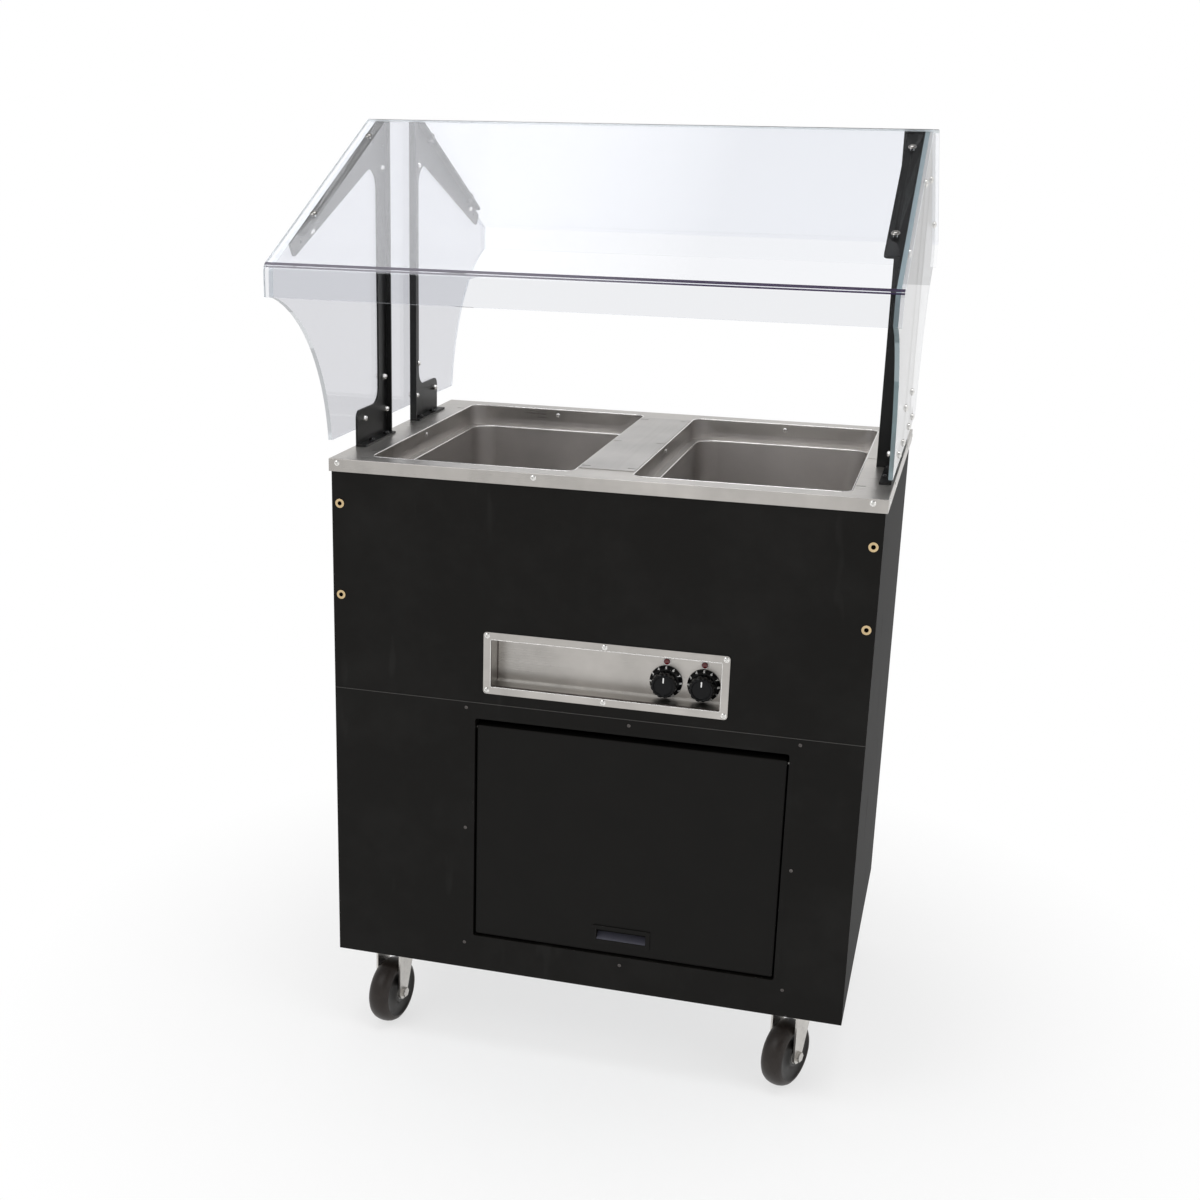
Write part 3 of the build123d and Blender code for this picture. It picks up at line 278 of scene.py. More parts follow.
def acrylic(name, cut_ends, upright_painted_shading, sawn, frost, bend_painted_shade=(0.03, 0.02, 0.05), fold_weight=0.85, painted_reflection=0.0):
    """Clear cast sheet, with painted shading where it stands upright, and sawn edges that are partly frosted.

    With cut_ends the sheet is folded: its ends and its ridge are sawn, and its bend is painted its own colour
    of shade.
    Without it the sheet is flat across X, and its whole rim is sawn. Faces tilted like the bend are cloudier,
    so their painted shade shows.
    The last argument is the share of white seen in the slope of the left half, a painted reflection.
    """
    ridge_z = 1.40
    s = Shade(name)
    s.set(IOR=1.14)
    normal = s.add("ShaderNodeSeparateXYZ")
    s.link(s.add("ShaderNodeTexCoord").outputs["Normal"], normal.inputs[0])
    place = s.add("ShaderNodeSeparateXYZ")
    s.link(s.coord, place.inputs[0])
    along = s.math("ABSOLUTE", normal.outputs["X"])
    across = s.math("ABSOLUTE", normal.outputs["Y"])
    upright = s.math("GREATER_THAN", s.math("MAXIMUM", along, across), 0.9)
    # Upright faces take the sheet's painted shading.
    face = s.blend(upright, (0.935, 0.94, 0.965), upright_painted_shading)
    if cut_ends:
        high = s.math("GREATER_THAN", place.outputs["Z"], ridge_z)
        ridge = s.math("MULTIPLY", s.math("GREATER_THAN", across, 0.85), high)
        cut = s.math("MAXIMUM", s.math("GREATER_THAN", along, 0.7), ridge)
    else:
        cut = s.math("LESS_THAN", along, 0.7)
    bent = s.math("MULTIPLY", s.math("GREATER_THAN", across, 0.50), s.math("LESS_THAN", across, 0.76))
    fold = s.math("MULTIPLY", bent, s.math("LESS_THAN", place.outputs["Z"], ridge_z))
    # The bend is painted with its own shade.
    if cut_ends:
        face = s.blend(fold, face, bend_painted_shade)
    # Sawn faces take the sawn colour, which on the right end sheet is painted shade.
    s.color(s.blend(cut, face, sawn))
    clouded = s.math("MAXIMUM", s.math("MULTIPLY", cut, frost), s.math("MULTIPLY", fold, fold_weight))
    s.link(s.math("SUBTRACT", 1.0, clouded), s.bsdf.inputs["Transmission Weight"])
    s.rough(s.math("ADD", s.math("MULTIPLY", cut, 0.35), 0.004))
    s.bump(s.noise(14.0, 1.0), 0.00004, 0.5)
    volume = s.add("ShaderNodeVolumeAbsorption")
    volume.inputs["Color"].default_value = (0.45, 0.86, 0.9, 1.0)
    volume.inputs["Density"].default_value = 1.4
    out = s.tree.nodes["Material Output"]
    s.link(volume.outputs[0], out.inputs["Volume"])
    surface = s.bsdf.outputs[0]
    # A painted reflection: white mixed into the slope, strongest at the left and gone at the right.
    if painted_reflection:
        left = s.math("SUBTRACT", 1.0, s.span(place.outputs["X"], -0.12, 0.16))
        slope = s.math("SUBTRACT", 1.0, upright)
        white = s.add("ShaderNodeBsdfDiffuse")
        white.inputs["Color"].default_value = (0.88, 0.88, 0.90, 1.0)
        surface = s.mix(s.math("MULTIPLY", s.math("MULTIPLY", left, slope), painted_reflection), surface, white.outputs[0])
    shade = s.add("ShaderNodeBsdfTransparent")
    shade.inputs["Color"].default_value = (0.90, 0.91, 0.92, 1.0)
    shadow_ray = s.add("ShaderNodeLightPath").outputs["Is Shadow Ray"]
    s.link(s.mix(shadow_ray, surface, shade.outputs[0]), out.inputs["Surface"])
    return s.mat


def rubber(name, color):
    """Hard rubber with a little dust."""
    s = Shade(name)
    s.set(Specular_IOR_Level=0.35)
    dust = s.span(s.noise(55.0, 6.0, 0.7), 0.5, 0.78)
    s.color(s.blend(s.math("MULTIPLY", dust, 0.5), color, (0.05, 0.042, 0.036)))
    s.rough(s.span(dust, 0.0, 1.0, 0.38, 0.6))
    s.bump(s.noise(700.0, 3.0), 0.00008, 0.4)
    return s.mat


def wool(name, color):
    """Batts of glass wool."""
    s = Shade(name)
    fibre = s.noise(1.0, 6.0, 0.7, (300.0, 60.0, 300.0))
    s.color(s.blend(fibre, tint(color, 0.7), tint(color, 1.15)))
    s.set(Roughness=0.95)
    s.bump(fibre, 0.0015, 0.8)
    return s.mat


def lens(name, color):
    """Coloured plastic with a clear gloss."""
    s = Shade(name)
    s.set(Roughness=0.16, Coat_Weight=0.3)
    ring = s.noise(500.0, 1.0)
    s.color(s.blend(ring, color, tint(color, 1.5)))
    return s.mat


steel = (0.50, 0.478, 0.452)
looks = {
    "stainless": brushed("brushed_stainless", steel, 0.21, 0, 0.24),
    # Dark line colour: a glue line on the apex, and painted shadow in the control recess.
    "glue_and_painted_shadow": plated("dark_glue_and_painted_shadow_line", (0.16, 0.14, 0.13), 0.5, 0.3),
    # A brighter steel whose colour paints a highlight on rolled edges and the recess fold.
    "bright": plated("rolled_steel_painted_highlight", (0.80, 0.79, 0.77), 0.18, 0.12),
    "cover": brushed("brushed_cover_plate", (0.44, 0.425, 0.41), 0.27, 1, 0.24),
    "well": brushed("dull_well_steel", (0.50, 0.475, 0.455), 0.36, 1, 0.14, 0.00002),
    "galvanized": plated("galvanized_sheet", (0.55, 0.56, 0.57), 0.42, 0.14),
    "paint": painted("black_cabinet_paint", (0.0058, 0.0053, 0.0046), 0.44, 0.12),
    "bracket": painted("black_bracket_coat", (0.006, 0.006, 0.006), 0.38, 0.22, 1400.0),
    "door": moulded("black_door_plastic", (0.0056, 0.0052, 0.0046), 0.44, 0.12, 1100.0),
    "slate": moulded("slate_pull_plastic", (0.060, 0.060, 0.078), 0.45),
    "black": moulded("black_plastic", (0.0035, 0.0035, 0.004), 0.20, 0.17, 2200.0),
    "switch": moulded("switch_body_plastic", (0.09, 0.06, 0.035), 0.5),
    "screw": plated("bright_screw_steel", (0.78, 0.77, 0.75), 0.18, 0.05),
    # Screw steel painted darker: painted shade on the guard's button screws.
    "guard_screw": plated("screw_steel_painted_shade", (0.36, 0.35, 0.34), 0.2, 0.08),
    "dark_screw": plated("dulled_screw_steel", (0.13, 0.12, 0.115), 0.4, 0.2),
    # A lighter paint along the front seam: a painted highlight.
    "edge": painted("seam_painted_highlight", (0.045, 0.043, 0.040), 0.35, 0.3),
    "zinc": plated("zinc_plate", (0.58, 0.56, 0.53), 0.3, 0.12),
    "brass": plated("turned_brass", (0.62, 0.47, 0.27), 0.24, 0.10),
    "element": plated("element_sheath", (0.16, 0.15, 0.15), 0.45, 0.25),
    # The upright and bend colours given to each sheet are painted shading.
    "rear_acrylic": acrylic(
        "clear_folded_sheet", True, (0.98, 0.98, 0.985), (0.82, 0.86, 0.88), 0.75, (0.90, 0.90, 0.93), 0.0),
    # The front sheet carries a painted reflection in the left half of its slope.
    "front_acrylic": acrylic(
        "clear_front_sheet", True, (0.86, 0.865, 0.885), (0.82, 0.86, 0.88), 0.75, painted_reflection=0.17),
    "left_acrylic": acrylic("clear_left_sheet", False, (0.70, 0.70, 0.73), (0.84, 0.86, 0.88), 0.62),
    # The right sheet's darker sawn colour is painted shade.
    "right_acrylic": acrylic("clear_right_sheet", False, (0.70, 0.70, 0.73), (0.36, 0.43, 0.45), 0.40),
    "rubber": rubber("hard_wheel_rubber", (0.012, 0.011, 0.010)),
    "wool": wool("glass_wool_batt", (0.62, 0.56, 0.36)),
    "red": lens("red_lamp_lens", (0.105, 0.003, 0.005)),
    "bezel": moulded("pale_lamp_bezel", (0.86, 0.84, 0.82), 0.35),
    "print": moulded("white_dial_print", (0.90, 0.90, 0.88), 0.5, 0.3, 2500.0),
    # Browner tyre: partly wear, partly a painted highlight on the tread's crown.
    "tread": rubber("worn_tread_and_painted_highlight", (0.017, 0.012, 0.0095)),
    "race": plated("bearing_race", (0.50, 0.49, 0.47), 0.35, 0.2),
}
by_slot = {
    "stainless": "stainless", "well_steel": "well", "galvanized": "galvanized", "insulation": "wool",
    "element_sheath": "element", "black_paint": "paint", "bracket_paint": "bracket", "black_plastic": "door",
    "slate_plastic": "slate", "knob_plastic": "black", "switch_plastic": "switch", "red_lens": "red",
    "brass": "brass", "chrome_screws": "screw", "dark_screws": "dark_screw", "zinc": "zinc",
    "wheel_rubber": "rubber", "clear_acrylic": "rear_acrylic",
}
by_node = {
    "front_guard_panel": "front_acrylic", "left_end_panel": "left_acrylic",
    "right_end_panel": "right_acrylic", "center_cover": "cover", "door_pull": "door",
}
for entry in frame["record"]["subparts"]:
    look = by_node.get(entry["node"], by_slot[entry["material_slot"]])
    materials = nodes[entry["node"]].data.materials
    materials.clear()
    materials.append(looks[look])


# Pieces built here

class Form:
    """Vertices and faces gathered for one piece, in the shared frame."""

    def __init__(self):
        self.verts, self.faces = [], []

    def add(self, shape, place=Matrix()):
        first = len(self.verts)
        self.verts += [place @ Vector(v) for v in shape[0]]
        self.faces += [tuple(i + first for i in face) for face in shape[1]]
        return self

    def piece(self, name, look, body, crease=38.0):
        mesh = bpy.data.meshes.new(name)
        mesh.from_pydata(self.verts, [], self.faces)
        bm = bmesh.new()
        bm.from_mesh(mesh)
        bmesh.ops.recalc_face_normals(bm, faces=bm.faces)
        for edge in bm.edges:
            edge.smooth = edge.calc_face_angle(0.0) < math.radians(crease)
        for face in bm.faces:
            face.smooth = True
        bm.to_mesh(mesh)
        bm.free()
        mesh.materials.append(looks[look])
        obj = bpy.data.objects.new(name, mesh)
        bpy.context.scene.collection.objects.link(obj)
        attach(obj, body)
        return obj


def lathe(profile, steps=40, ripple=None):
    """A turned shape about Z from (radius, height) pairs. ripple(angle) scales the radius."""
    verts, faces, rings = [], [], []
    for r, z in profile:
        if r == 0:
            rings.append([len(verts)])
            verts.append((0, 0, z))
            continue
        rings.append(list(range(len(verts), len(verts) + steps)))
        for i in range(steps):
            angle = 2 * math.pi * i / steps
            k = ripple(angle) if ripple else 1.0
            verts.append((r * k * math.cos(angle), r * k * math.sin(angle), z))
    for a, b in zip(rings, rings[1:]):
        for i in range(steps):
            j = (i + 1) % steps
            if len(a) == 1 and len(b) == 1:
                continue
            if len(a) == 1:
                faces.append((a[0], b[i], b[j]))
            elif len(b) == 1:
                faces.append((a[i], b[0], a[j]))
            else:
                faces.append((a[i], b[i], b[j], a[j]))
    return verts, faces


def bar(sx, sy, sz):
    """A box about the origin with those full sizes."""
    verts = [(x * sx / 2, y * sy / 2, z * sz / 2) for x in (-1, 1) for y in (-1, 1) for z in (-1, 1)]
    return verts, [(0, 1, 3, 2), (4, 6, 7, 5), (0, 4, 5, 1), (2, 3, 7, 6), (0, 2, 6, 4), (1, 5, 7, 3)]


def prism(radius, z0, z1, sides=6):
    """A regular prism about Z between two heights."""
    verts = [(radius * math.cos(math.tau * i / sides), radius * math.sin(math.tau * i / sides), z)
             for z in (z0, z1) for i in range(sides)]
    faces = [tuple(range(sides)), tuple(range(sides, 2 * sides))]
    faces += [(i, (i + 1) % sides, (i + 1) % sides + sides, i + sides) for i in range(sides)]
    return verts, faces


def facing(point, direction, turn=0.0):
    """Places a shape whose Z axis is to point along direction."""
    tilt = Vector(direction).to_track_quat("Z", "Y").to_matrix().to_4x4()
    return Matrix.Translation(point) @ tilt @ Matrix.Rotation(turn, 4, "Z")


def cross_recess(x, y, size):
    """Depth share of a cross-shaped driver recess."""
    arm = min(abs(x), abs(y)) / (size * 0.17)
    reach = max(abs(x), abs(y)) / size
    return max(0.0, min(1.0, (1.25 - arm) * 3)) * max(0.0, min(1.0, (1.05 - reach) * 4))


def socket_recess(x, y, size):
    """Depth share of a six-sided driver recess."""
    reach = max(abs(x * math.cos(a) + y * math.sin(a)) for a in (0, math.pi / 3, 2 * math.pi / 3)) / size
    return max(0.0, min(1.0, (1.08 - reach) * 7))


def screw(radius, height, shank, shank_radius, recess, size, depth, nut=None):
    """A domed head on the plane z = 0, its driver recess, a shank below and sometimes a nut."""
    rings, steps = 15, 48
    verts, faces = [(0, 0, height - depth)], []
    for k in range(1, rings + 1):
        r = radius * k / rings
        dome = height * (1 - 0.72 * (k / rings) ** 2.6)
        for i in range(steps):
            a = math.tau * i / steps
            x, y = r * math.cos(a), r * math.sin(a)
            verts.append((x, y, dome - depth * recess(x, y, size)))
    for i in range(steps):
        faces.append((0, 1 + i, 1 + (i + 1) % steps))
    for k in range(rings - 1):
        for i in range(steps):
            a, b = 1 + k * steps + i, 1 + k * steps + (i + 1) % steps
            faces.append((a, a + steps, b + steps, b))
    form = Form().add((verts, faces))
    form.add(lathe([
        (radius, height * 0.28), (radius, 0), (shank_radius, 0), (shank_radius, -shank), (0, -shank),
    ], 32))
    if nut:
        low, high, across = nut
        form.add(prism(across, -low, -high))
        form.add(lathe([
            (across * 1.12, -high), (across * 1.12, -high - 0.0008), (across * 0.5, -high - 0.0008),
        ], 32))
    return form.verts, form.faces


turns = random.Random(7)


def screws(node, name, shape, places, look="screw"):
    """One piece with a screw at each (point, direction), turned at random, in place of the node."""
    form = Form()
    for point, direction in places:
        form.add(shape, facing(point, direction, turns.uniform(0, math.tau)))
    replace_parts(form.piece(name, look, "cabinet"), node)


def rim_places():
    z = top_z - top_rim / 3
    for side in (-1, 1):
        for x in rim_screw_x:
            yield (x, side * half_depth, z), (0, side, 0)
        for inset in rim_screw_inset:
            for end in (-1, 1):
                yield (end * half_length, side * (half_depth - inset), z), (end, 0, 0)


def well_places():
    z = top_z - 0.010
    for x in well_x:
        for side in (-1, 1):
            yield (x, side * well_length / 2, z), (0, -side, 0)
            yield (x + side * well_width / 2, 0, z), (-side, 0, 0)


def control_places():
    for row in (-1, 1):
        z = control_z + row * (control_height / 2 - control_screw_edge)
        for column in (-1, 0, 1):
            x = control_x + column * (control_width / 2 - control_screw_edge)
            yield (x, front_y - control_gauge, z), (0, -1, 0)


def frame_places():
    for z in frame_rows:
        for x in frame_columns:
            if not (z == frame_rows[1] and x == frame_columns[1]):
                yield (x, front_y, z), (0, -1, 0)


def slope_places():
    for end, flange in arm_flange.items():
        x = end * (bracket_x - flange * screw_share)
        for side in (-1, 1):
            out = Vector((0, side * math.sin(guard_slope), math.cos(guard_slope)))
            for y in slope_screw_y:
                z = guard_apex_z - (y - guard_apex_y) * math.tan(guard_slope)
                yield tuple(Vector((x, side * y, z)) + out * guard_gauge), tuple(out)


def end_places():
    for end in (-1, 1):
        for side in (-1, 1):
            for y, rise in end_screw_places:
                yield (end * (bracket_x + guard_gauge), side * y, top_z + rise), (end, 0, 0)


def foot_places():
    for end in (-1, 1):
        for side in (-1, 1):
            for y in foot_bolt_y:
                yield (end * (bracket_x - foot_flange * screw_share), side * y, top_z + 0.003), (0, 0, 1)


def fastenings():
    """Every screw, bolt and cap nut that shows."""
    cross = screw(0.0042, 0.0020, 0.009, 0.0020, cross_recess, 0.0023, 0.0011)
    screws("rim_screws", "rim_cross_screws", cross, rim_places())
    screws("control_box_screws", "control_cross_screws", cross, control_places())
    flat = screw(0.0035, 0.0015, 0.0055, 0.0020, cross_recess, 0.0020, 0.0009)
    screws("well_screws", "well_cross_screws", flat, well_places())
    small = screw(0.0026, 0.0013, 0.009, 0.0014, cross_recess, 0.0014, 0.0007)
    screws("door_frame_screws", "frame_cross_screws", small, frame_places(), "dark_screw")
    button = screw(0.0055, 0.0036, 0.014, 0.0025, socket_recess, 0.0020, 0.0018, (0.009, 0.0132, 0.0050))
    screws("guard_panel_screws", "guard_button_screws", button, slope_places(), "guard_screw")
    bolt = screw(0.0055, 0.0040, 0.0095, 0.0025, socket_recess, 0.0020, 0.0018, (0.0045, 0.0087, 0.0048))
    screws("bracket_foot_bolts", "foot_button_bolts", bolt, foot_places(), "bracket")
    acorn = Form().add(screw(0.0055, 0.0036, 0.012, 0.0025, cross_recess, 0.0028, 0.0013))
    acorn.add(prism(0.0049, -0.009, -0.0125))
    acorn.add(lathe([
        (0.0042, -0.0125), (0.0042, -0.0135), (0.0038, -0.0152), (0.0026, -0.0165), (0, -0.0170),
    ], 32))
    screws("end_panel_screws", "end_panel_cap_nuts", (acorn.verts, acorn.faces), end_places())


def words(text, size, depth):
    """A text as a solid shape with slightly bold strokes, centred on the origin."""
    curve = bpy.data.curves.new("dial_text", "FONT")
    curve.body = text
    curve.size = size
    curve.extrude = depth / 2
    curve.offset = size * 0.03
    curve.align_x, curve.align_y = "CENTER", "CENTER"
    holder = bpy.data.objects.new("dial_text", curve)
    mesh = holder.to_mesh()
    shape = ([tuple(v.co) for v in mesh.vertices], [tuple(p.vertices) for p in mesh.polygons])
    holder.to_mesh_clear()
    bpy.data.objects.remove(holder)
    bpy.data.curves.remove(curve)
    return shape


def dial(body, node, x):
    """Knob with a printed conical skirt, a scalloped cap, a dished face and a pointer."""
    place = facing((x, recess_y - 0.001, knob_z), (0, -1, 0))
    skirt = Form().add(lathe([
        (0, 0), (0.0238, 0), (0.0244, 0.0004), (0.0244, 0.0011), (0.0240, 0.0015),
        (0.0200, 0.0056), (0.0194, 0.0060), (0.0150, 0.0060),
    ], 72), place)
    skirt.piece(body + "_skirt", "black", body)

    def flutes(angle):
        return 1.0 - 0.085 * abs(math.cos(6 * angle)) ** 5

    cap = Form().add(lathe([
        (0.0150, 0.0060), (0.0186, 0.0061), (0.0191, 0.0068),
        (0.0189, 0.0205), (0.0182, 0.0232), (0.0164, 0.0243),
    ], 192, flutes), place)
    cap.add(lathe([
        (0.0168, 0.0240), (0.0154, 0.0246), (0.0144, 0.0244),
        (0.0138, 0.0232), (0.0132, 0.0226), (0, 0.0226),
    ], 72), place)
    cap.piece(body + "_cap", "black", body)
    paint = Form().add(bar(0.0018, 0.0080, 0.0008), place @ Matrix.Translation((0, 0.0086, 0.0229)))
    skirt_lean = math.atan2(0.0041, 0.0040)
    on_skirt = Matrix.Translation((0, 0.0220, 0.0036)) @ Matrix.Rotation(-skirt_lean, 4, "X")
    first_angle, step_angle, last_digit = 150, 30, 10
    for digit in range(last_digit + 1):
        turn = Matrix.Rotation(math.radians(first_angle - step_angle * digit), 4, "Z")
        spot = place @ turn @ on_skirt
        if digit:
            paint.add(words(str(digit), 0.0062, 0.0003), spot @ Matrix.Translation((0, 0, 0.0001)))
        else:
            paint.add(bar(0.0010, 0.0046, 0.0003), spot)
    paint.piece(body + "_print", "print", body)
    shaft = Form().add(lathe([(0, -0.011), (0.003, -0.011), (0.003, 0.004), (0, 0.004)], 24), place)
    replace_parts(shaft.piece(body + "_shaft", "zinc", body), node)


def lamps():
    """Domed red lenses in pale bezels, with barrels behind."""
    bezel, glass = Form(), Form()
    for _, _, x in knob_places:
        place = facing((x, recess_y, lamp_z), (0, -1, 0))
        bezel.add(lathe([
            (0.0044, -0.022), (0.0044, 0.0), (0.0058, 0.0), (0.0058, 0.0008),
            (0.0055, 0.0014), (0.0049, 0.0014), (0.0046, 0.0006),
        ], 40), place)
        glass.add(lathe([
            (0.0046, 0.0004), (0.0045, 0.0019), (0.0040, 0.0029), (0.0025, 0.0035), (0, 0.0037),
        ], 40), place)
    bezel.piece("lamp_bezels", "bezel", "cabinet")
    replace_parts(glass.piece("lamp_lenses", "red", "cabinet"), "pilot_lamps")


def caster_middle(name):
    """X and Y of a caster's upright."""
    side_x = -1 if "left" in name else 1
    side_y = -1 if "front" in name else 1
    return side_x * (half_length - caster_inset_x), side_y * (half_depth - caster_inset_y)


def wheel(name):
    """Hard tyre on a dished black core, with a steel hub and bearing rings."""
    x, y = caster_middle(name)
    heading = Matrix.Translation((x, y, 0)) @ Matrix.Rotation(math.radians(caster_headings[name]), 4, "Z")
    axle = heading @ Matrix.Translation((0, -caster_trail, wheel_radius))
    place = axle @ Matrix.Rotation(math.pi / 2, 4, "Y")
    body = name + "_roller"
    half_tread = [
        (0.0410, 0.0166), (0.0425, 0.0178), (0.0446, 0.0176),
        (0.0482, 0.0150), (0.0510, 0.0105), (0.0524, 0.0055),
    ]
    tread = half_tread + [(0.0529, 0.0)] + [(r, -z) for r, z in reversed(half_tread)]
    tyre = Form().add(lathe(tread, 96), place).piece(name + "_tyre", "tread", body)
    core = Form()
    for side in (-1, 1):
        core.add(lathe([(r, side * z) for r, z in (
            (0.0413, 0.0167), (0.0405, 0.0154), (0.0385, 0.0138), (0.0310, 0.0128), (0.0230, 0.0132),
            (0.0198, 0.0152), (0.0180, 0.0176), (0.0165, 0.0180), (0.0120, 0.0180),
        )], 96), place)
    core.piece(name + "_wheel_core", "rubber", body)
    hub = Form()
    for side in (-1, 1):
        hub.add(lathe([(r, side * z) for r, z in (
            (0.0128, 0.0177), (0.0126, 0.0183), (0.0098, 0.0184),
            (0.0094, 0.0190), (0.0052, 0.0190), (0.0052, 0.0),
        )], 48), place)
    hub.piece(name + "_wheel_hub", "race", body)
    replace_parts(tyre, name + "_wheel")


def bead(width, length, corner, radius, place):
    """A thin round bead along a rectangle with rounded corners, in the place's XY plane."""
    path, corner_steps = [], 8
    for quarter, (sx, sy) in enumerate(((1, 1), (-1, 1), (-1, -1), (1, -1))):
        for step in range(corner_steps + 1):
            angle = math.pi / 2 * (quarter + step / corner_steps)
            path.append((sx * (width / 2 - corner) + corner * math.cos(angle),
                         sy * (length / 2 - corner) + corner * math.sin(angle), angle))
    steps, verts, faces = 10, [], []
    for x, y, angle in path:
        for i in range(steps):
            turn = math.tau * i / steps
            out = radius * math.cos(turn)
            verts.append((x + out * math.cos(angle), y + out * math.sin(angle), radius * math.sin(turn)))
    for k in range(len(path)):
        for i in range(steps):
            a, b = k * steps, (k + 1) % len(path) * steps
            j = (i + 1) % steps
            faces.append((a + i, a + j, b + j, b + i))
    return [tuple(place @ Vector(v)) for v in verts], faces


def well_trims():
    """Rolled edges of the well openings and of the ledges inside them, in a brighter steel that is a painted
    highlight.
    """
    rolled, ledge = Form(), Form()
    for x in well_x:
        rolled.add(bead(well_width, well_length, 0.016, 0.0011, Matrix.Translation((x, 0, top_z - 0.0006))))
        under = Matrix.Translation((x, 0, top_z - 0.0345))
        ledge.add(bead(well_drop_in_width, well_drop_in_length, 0.034, 0.0014, under))
    rolled.piece("opening_rolled_edges", "bright", "cabinet")
    ledge.piece("well_ledge_edges", "bright", "cabinet")


def recess_trims():
    """The control recess's rolled edge and the fold along its back in a brighter steel, a painted highlight,
    and dark lines of painted shadow in its corners.
    """
    width, height = control_width - 2 * control_border, control_height - 2 * control_border
    floor_z = control_z - height / 2
    front = Matrix.Translation((control_x, front_y - control_gauge, control_z))
    edge = bead(width, height, 0.0020, 0.0006, front @ Matrix.Rotation(math.pi / 2, 4, "X"))
    Form().add(edge).piece("recess_rolled_edge", "bright", "cabinet")
    fold_place = Matrix.Translation((control_x, recess_y - 0.0010, floor_z + 0.0010))
    Form().add(bar(width - 0.001, 0.0020, 0.0020), fold_place).piece("recess_back_fold", "bright", "cabinet")
    # Dark bars of painted shadow in the recess's back corners and along its lower and left edges.
    shadow_lines = Form()
    low_edge = Matrix.Translation((control_x, front_y + 0.0026, floor_z + 0.0006))
    shadow_lines.add(bar(width - 0.003, 0.0034, 0.0012), low_edge)
    for side in (-1, 1):
        corner = Matrix.Translation((control_x + side * (width / 2 - 0.0005), recess_y - 0.0005, control_z))
        shadow_lines.add(bar(0.0010, 0.0010, height - 0.004), corner)
    left_edge = Matrix.Translation((control_x - width / 2 + 0.0004, front_y + 0.0008, control_z))
    shadow_lines.add(bar(0.0008, 0.0010, height - 0.004), left_edge)
    shadow_lines.piece("recess_painted_shadow_lines", "glue_and_painted_shadow", "cabinet")


def seam_trim():
    """A lighter edge along the seam between the two front panels, a painted highlight."""
    edge = bar(2 * half_length - 0.008, 0.0008, 0.0010)
    Form().add(edge, Matrix.Translation((0, front_y + 0.0001, seam_z))).piece("seam_edge", "edge", "cabinet")


def apex_trims():
    """The glue line along each folded sheet's top edge."""
    lines = Form()
    for side in (-1, 1):
        place = Matrix.Translation((0, side * (guard_apex_y + 0.0024), cad_box[1][2] - 0.0006))
        lines.add(bar(0.820, 0.0010, 0.0006), place)
    lines.piece("apex_glue_line", "glue_and_painted_shadow", "cabinet")


def pull_trim():
    """A slate-coloured sheet on the sloped floor of the door pull, a painted highlight."""
    (near, low), (far, high) = pull_floor
    left, right = door_x - pull_half_width, door_x + pull_half_width
    highlight_sheet = [(left, near, low), (right, near, low), (right, far, high), (left, far, high)], [(0, 1, 2, 3)]
    Form().add(highlight_sheet).piece("pull_painted_highlight", "slate", "door")


fastenings()
well_trims()
recess_trims()
seam_trim()
apex_trims()
pull_trim()
for body, node, x in knob_places:
    dial(body, node, x)
lamps()
for name in caster_headings:
    wheel(name)


# Stage, light and camera

def stage():
    """A white floor that fades into the background, and keeps the shadow near the object."""
    mesh = bpy.data.meshes.new("studio_floor")
    half = 14.0
    corners = [(-half, -half, 0), (half, -half, 0), (half, half, 0), (-half, half, 0)]
    mesh.from_pydata(corners, [], [(0, 1, 2, 3)])
    floor = bpy.data.objects.new("studio_floor", mesh)
    bpy.context.scene.collection.objects.link(floor)
    s = Shade("studio_floor_white")
    s.set(Roughness=0.9, Specular_IOR_Level=0.0)
    s.bsdf.inputs["Base Color"].default_value = (0.93, 0.93, 0.93, 1.0)
    far = s.add("ShaderNodeVectorMath", operation="LENGTH")
    s.link(s.coord, far.inputs[0])
    fade = s.span(far.outputs["Value"], 0.30, 1.05, 0.60, 1.0)
    glow = s.add("ShaderNodeEmission")
    floor_shade = s.mix(fade, s.bsdf.outputs[0], glow.outputs[0])
    s.link(floor_shade, s.tree.nodes["Material Output"].inputs["Surface"])
    mesh.materials.append(s.mat)


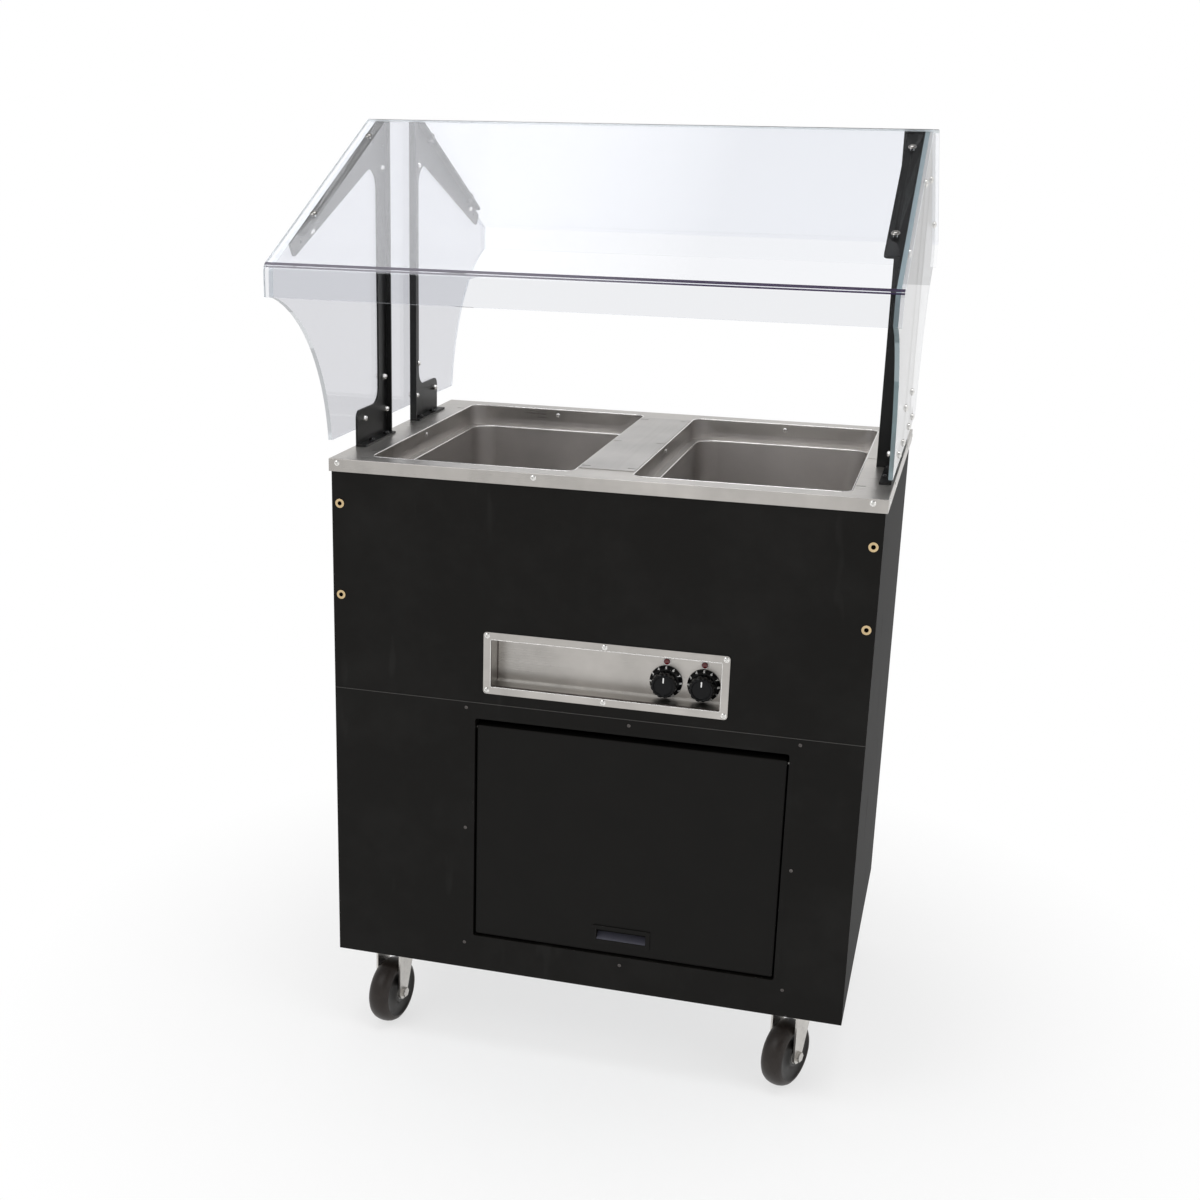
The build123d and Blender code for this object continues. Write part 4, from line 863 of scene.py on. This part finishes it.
def world():
    """Studio surroundings: white to the camera, and banded by height and depth in reflections."""
    w = bpy.data.worlds.new("studio")
    bpy.context.scene.world = w
    w.use_nodes = True
    tree = w.node_tree
    tree.nodes.clear()
    out = tree.nodes.new("ShaderNodeOutputWorld")
    background = tree.nodes.new("ShaderNodeBackground")
    path = tree.nodes.new("ShaderNodeLightPath")
    seen = tree.nodes.new("ShaderNodeMath")
    seen.operation = "MAXIMUM"
    tree.links.new(path.outputs["Is Camera Ray"], seen.inputs[0])
    tree.links.new(path.outputs["Is Transmission Ray"], seen.inputs[1])
    coord = tree.nodes.new("ShaderNodeTexCoord")
    split = tree.nodes.new("ShaderNodeSeparateXYZ")
    tree.links.new(coord.outputs["Generated"], split.inputs[0])
    height = tree.nodes.new("ShaderNodeValToRGB")
    ramp = height.color_ramp
    levels = ((0.0, 0.74), (0.24, 1.0), (0.50, 0.95), (0.66, 0.14), (0.88, 0.14), (0.96, 1.7))
    ramp.elements[0].position, ramp.elements[0].color = levels[0][0], (levels[0][1],) * 3 + (1,)
    ramp.elements[1].position, ramp.elements[1].color = levels[1][0], (levels[1][1],) * 3 + (1,)
    for position, level in levels[2:]:
        ramp.elements.new(position).color = (level, level, level, 1)
    tree.links.new(split.outputs["Z"], height.inputs[0])
    depth = tree.nodes.new("ShaderNodeMapRange")
    for key, number in zip(("From Min", "From Max", "To Min", "To Max"), (-0.7, 0.3, 0.80, 1.0)):
        depth.inputs[key].default_value = number
    tree.links.new(split.outputs["Y"], depth.inputs["Value"])
    studio = tree.nodes.new("ShaderNodeMix")
    studio.data_type, studio.blend_type = "RGBA", "MULTIPLY"
    studio.inputs[0].default_value = 1.0
    tree.links.new(height.outputs["Color"], studio.inputs[6])
    tree.links.new(depth.outputs["Result"], studio.inputs[7])
    mix = tree.nodes.new("ShaderNodeMix")
    mix.data_type = "RGBA"
    mix.inputs[7].default_value = (1, 1, 1, 1)
    tree.links.new(studio.outputs[2], mix.inputs[6])
    tree.links.new(seen.outputs[0], mix.inputs[0])
    tree.links.new(mix.outputs[2], background.inputs["Color"])
    tree.links.new(background.outputs[0], out.inputs[0])


def area_light(name, place, target, size, power, color=(1, 1, 1)):
    data = bpy.data.lights.new(name, "AREA")
    data.shape = "RECTANGLE"
    data.size, data.size_y = size
    data.energy = power
    data.color = color
    lamp = bpy.data.objects.new(name, data)
    bpy.context.scene.collection.objects.link(lamp)
    lamp.location = place
    lamp.rotation_euler = (Vector(target) - Vector(place)).to_track_quat("-Z", "Y").to_euler()
    return lamp


def camera():
    """The photograph's viewpoint, from points of the object that were matched."""
    yaw, pitch, roll = (math.radians(a) for a in (-15.569, 17.735, 1.054))
    level = Vector((math.cos(yaw), -math.sin(yaw), 0))
    ahead = Vector((math.sin(yaw) * math.cos(pitch), math.cos(yaw) * math.cos(pitch), -math.sin(pitch)))
    above = level.cross(ahead)
    right = math.cos(roll) * level + math.sin(roll) * above
    up = -math.sin(roll) * level + math.cos(roll) * above
    data = bpy.data.cameras.new("camera")
    data.sensor_width, data.lens = 36.0, 49.304
    data.shift_x, data.shift_y = 0.0657, 0.0399
    data.clip_start, data.clip_end = 0.05, 60.0
    eye = bpy.data.objects.new("camera", data)
    bpy.context.scene.collection.objects.link(eye)
    turn = Matrix((right, up, -ahead)).transposed().to_4x4()
    eye.matrix_world = Matrix.Translation((0.5126, -2.5047, 1.4187)) @ turn
    bpy.context.scene.camera = eye


stage()
world()
area_light("key", (-1.6, -2.2, 2.8), (0, 0, 0.8), (1.8, 1.4), 20.0)
area_light("fill", (2.4, -1.4, 2.0), (0, 0, 0.7), (1.4, 1.8), 8.0)
area_light("top", (0.0, -0.5, 3.2), (0, 0, 0.9), (1.6, 1.2), 16.0)
camera()
bpy.context.scene.view_settings.view_transform = "Standard"
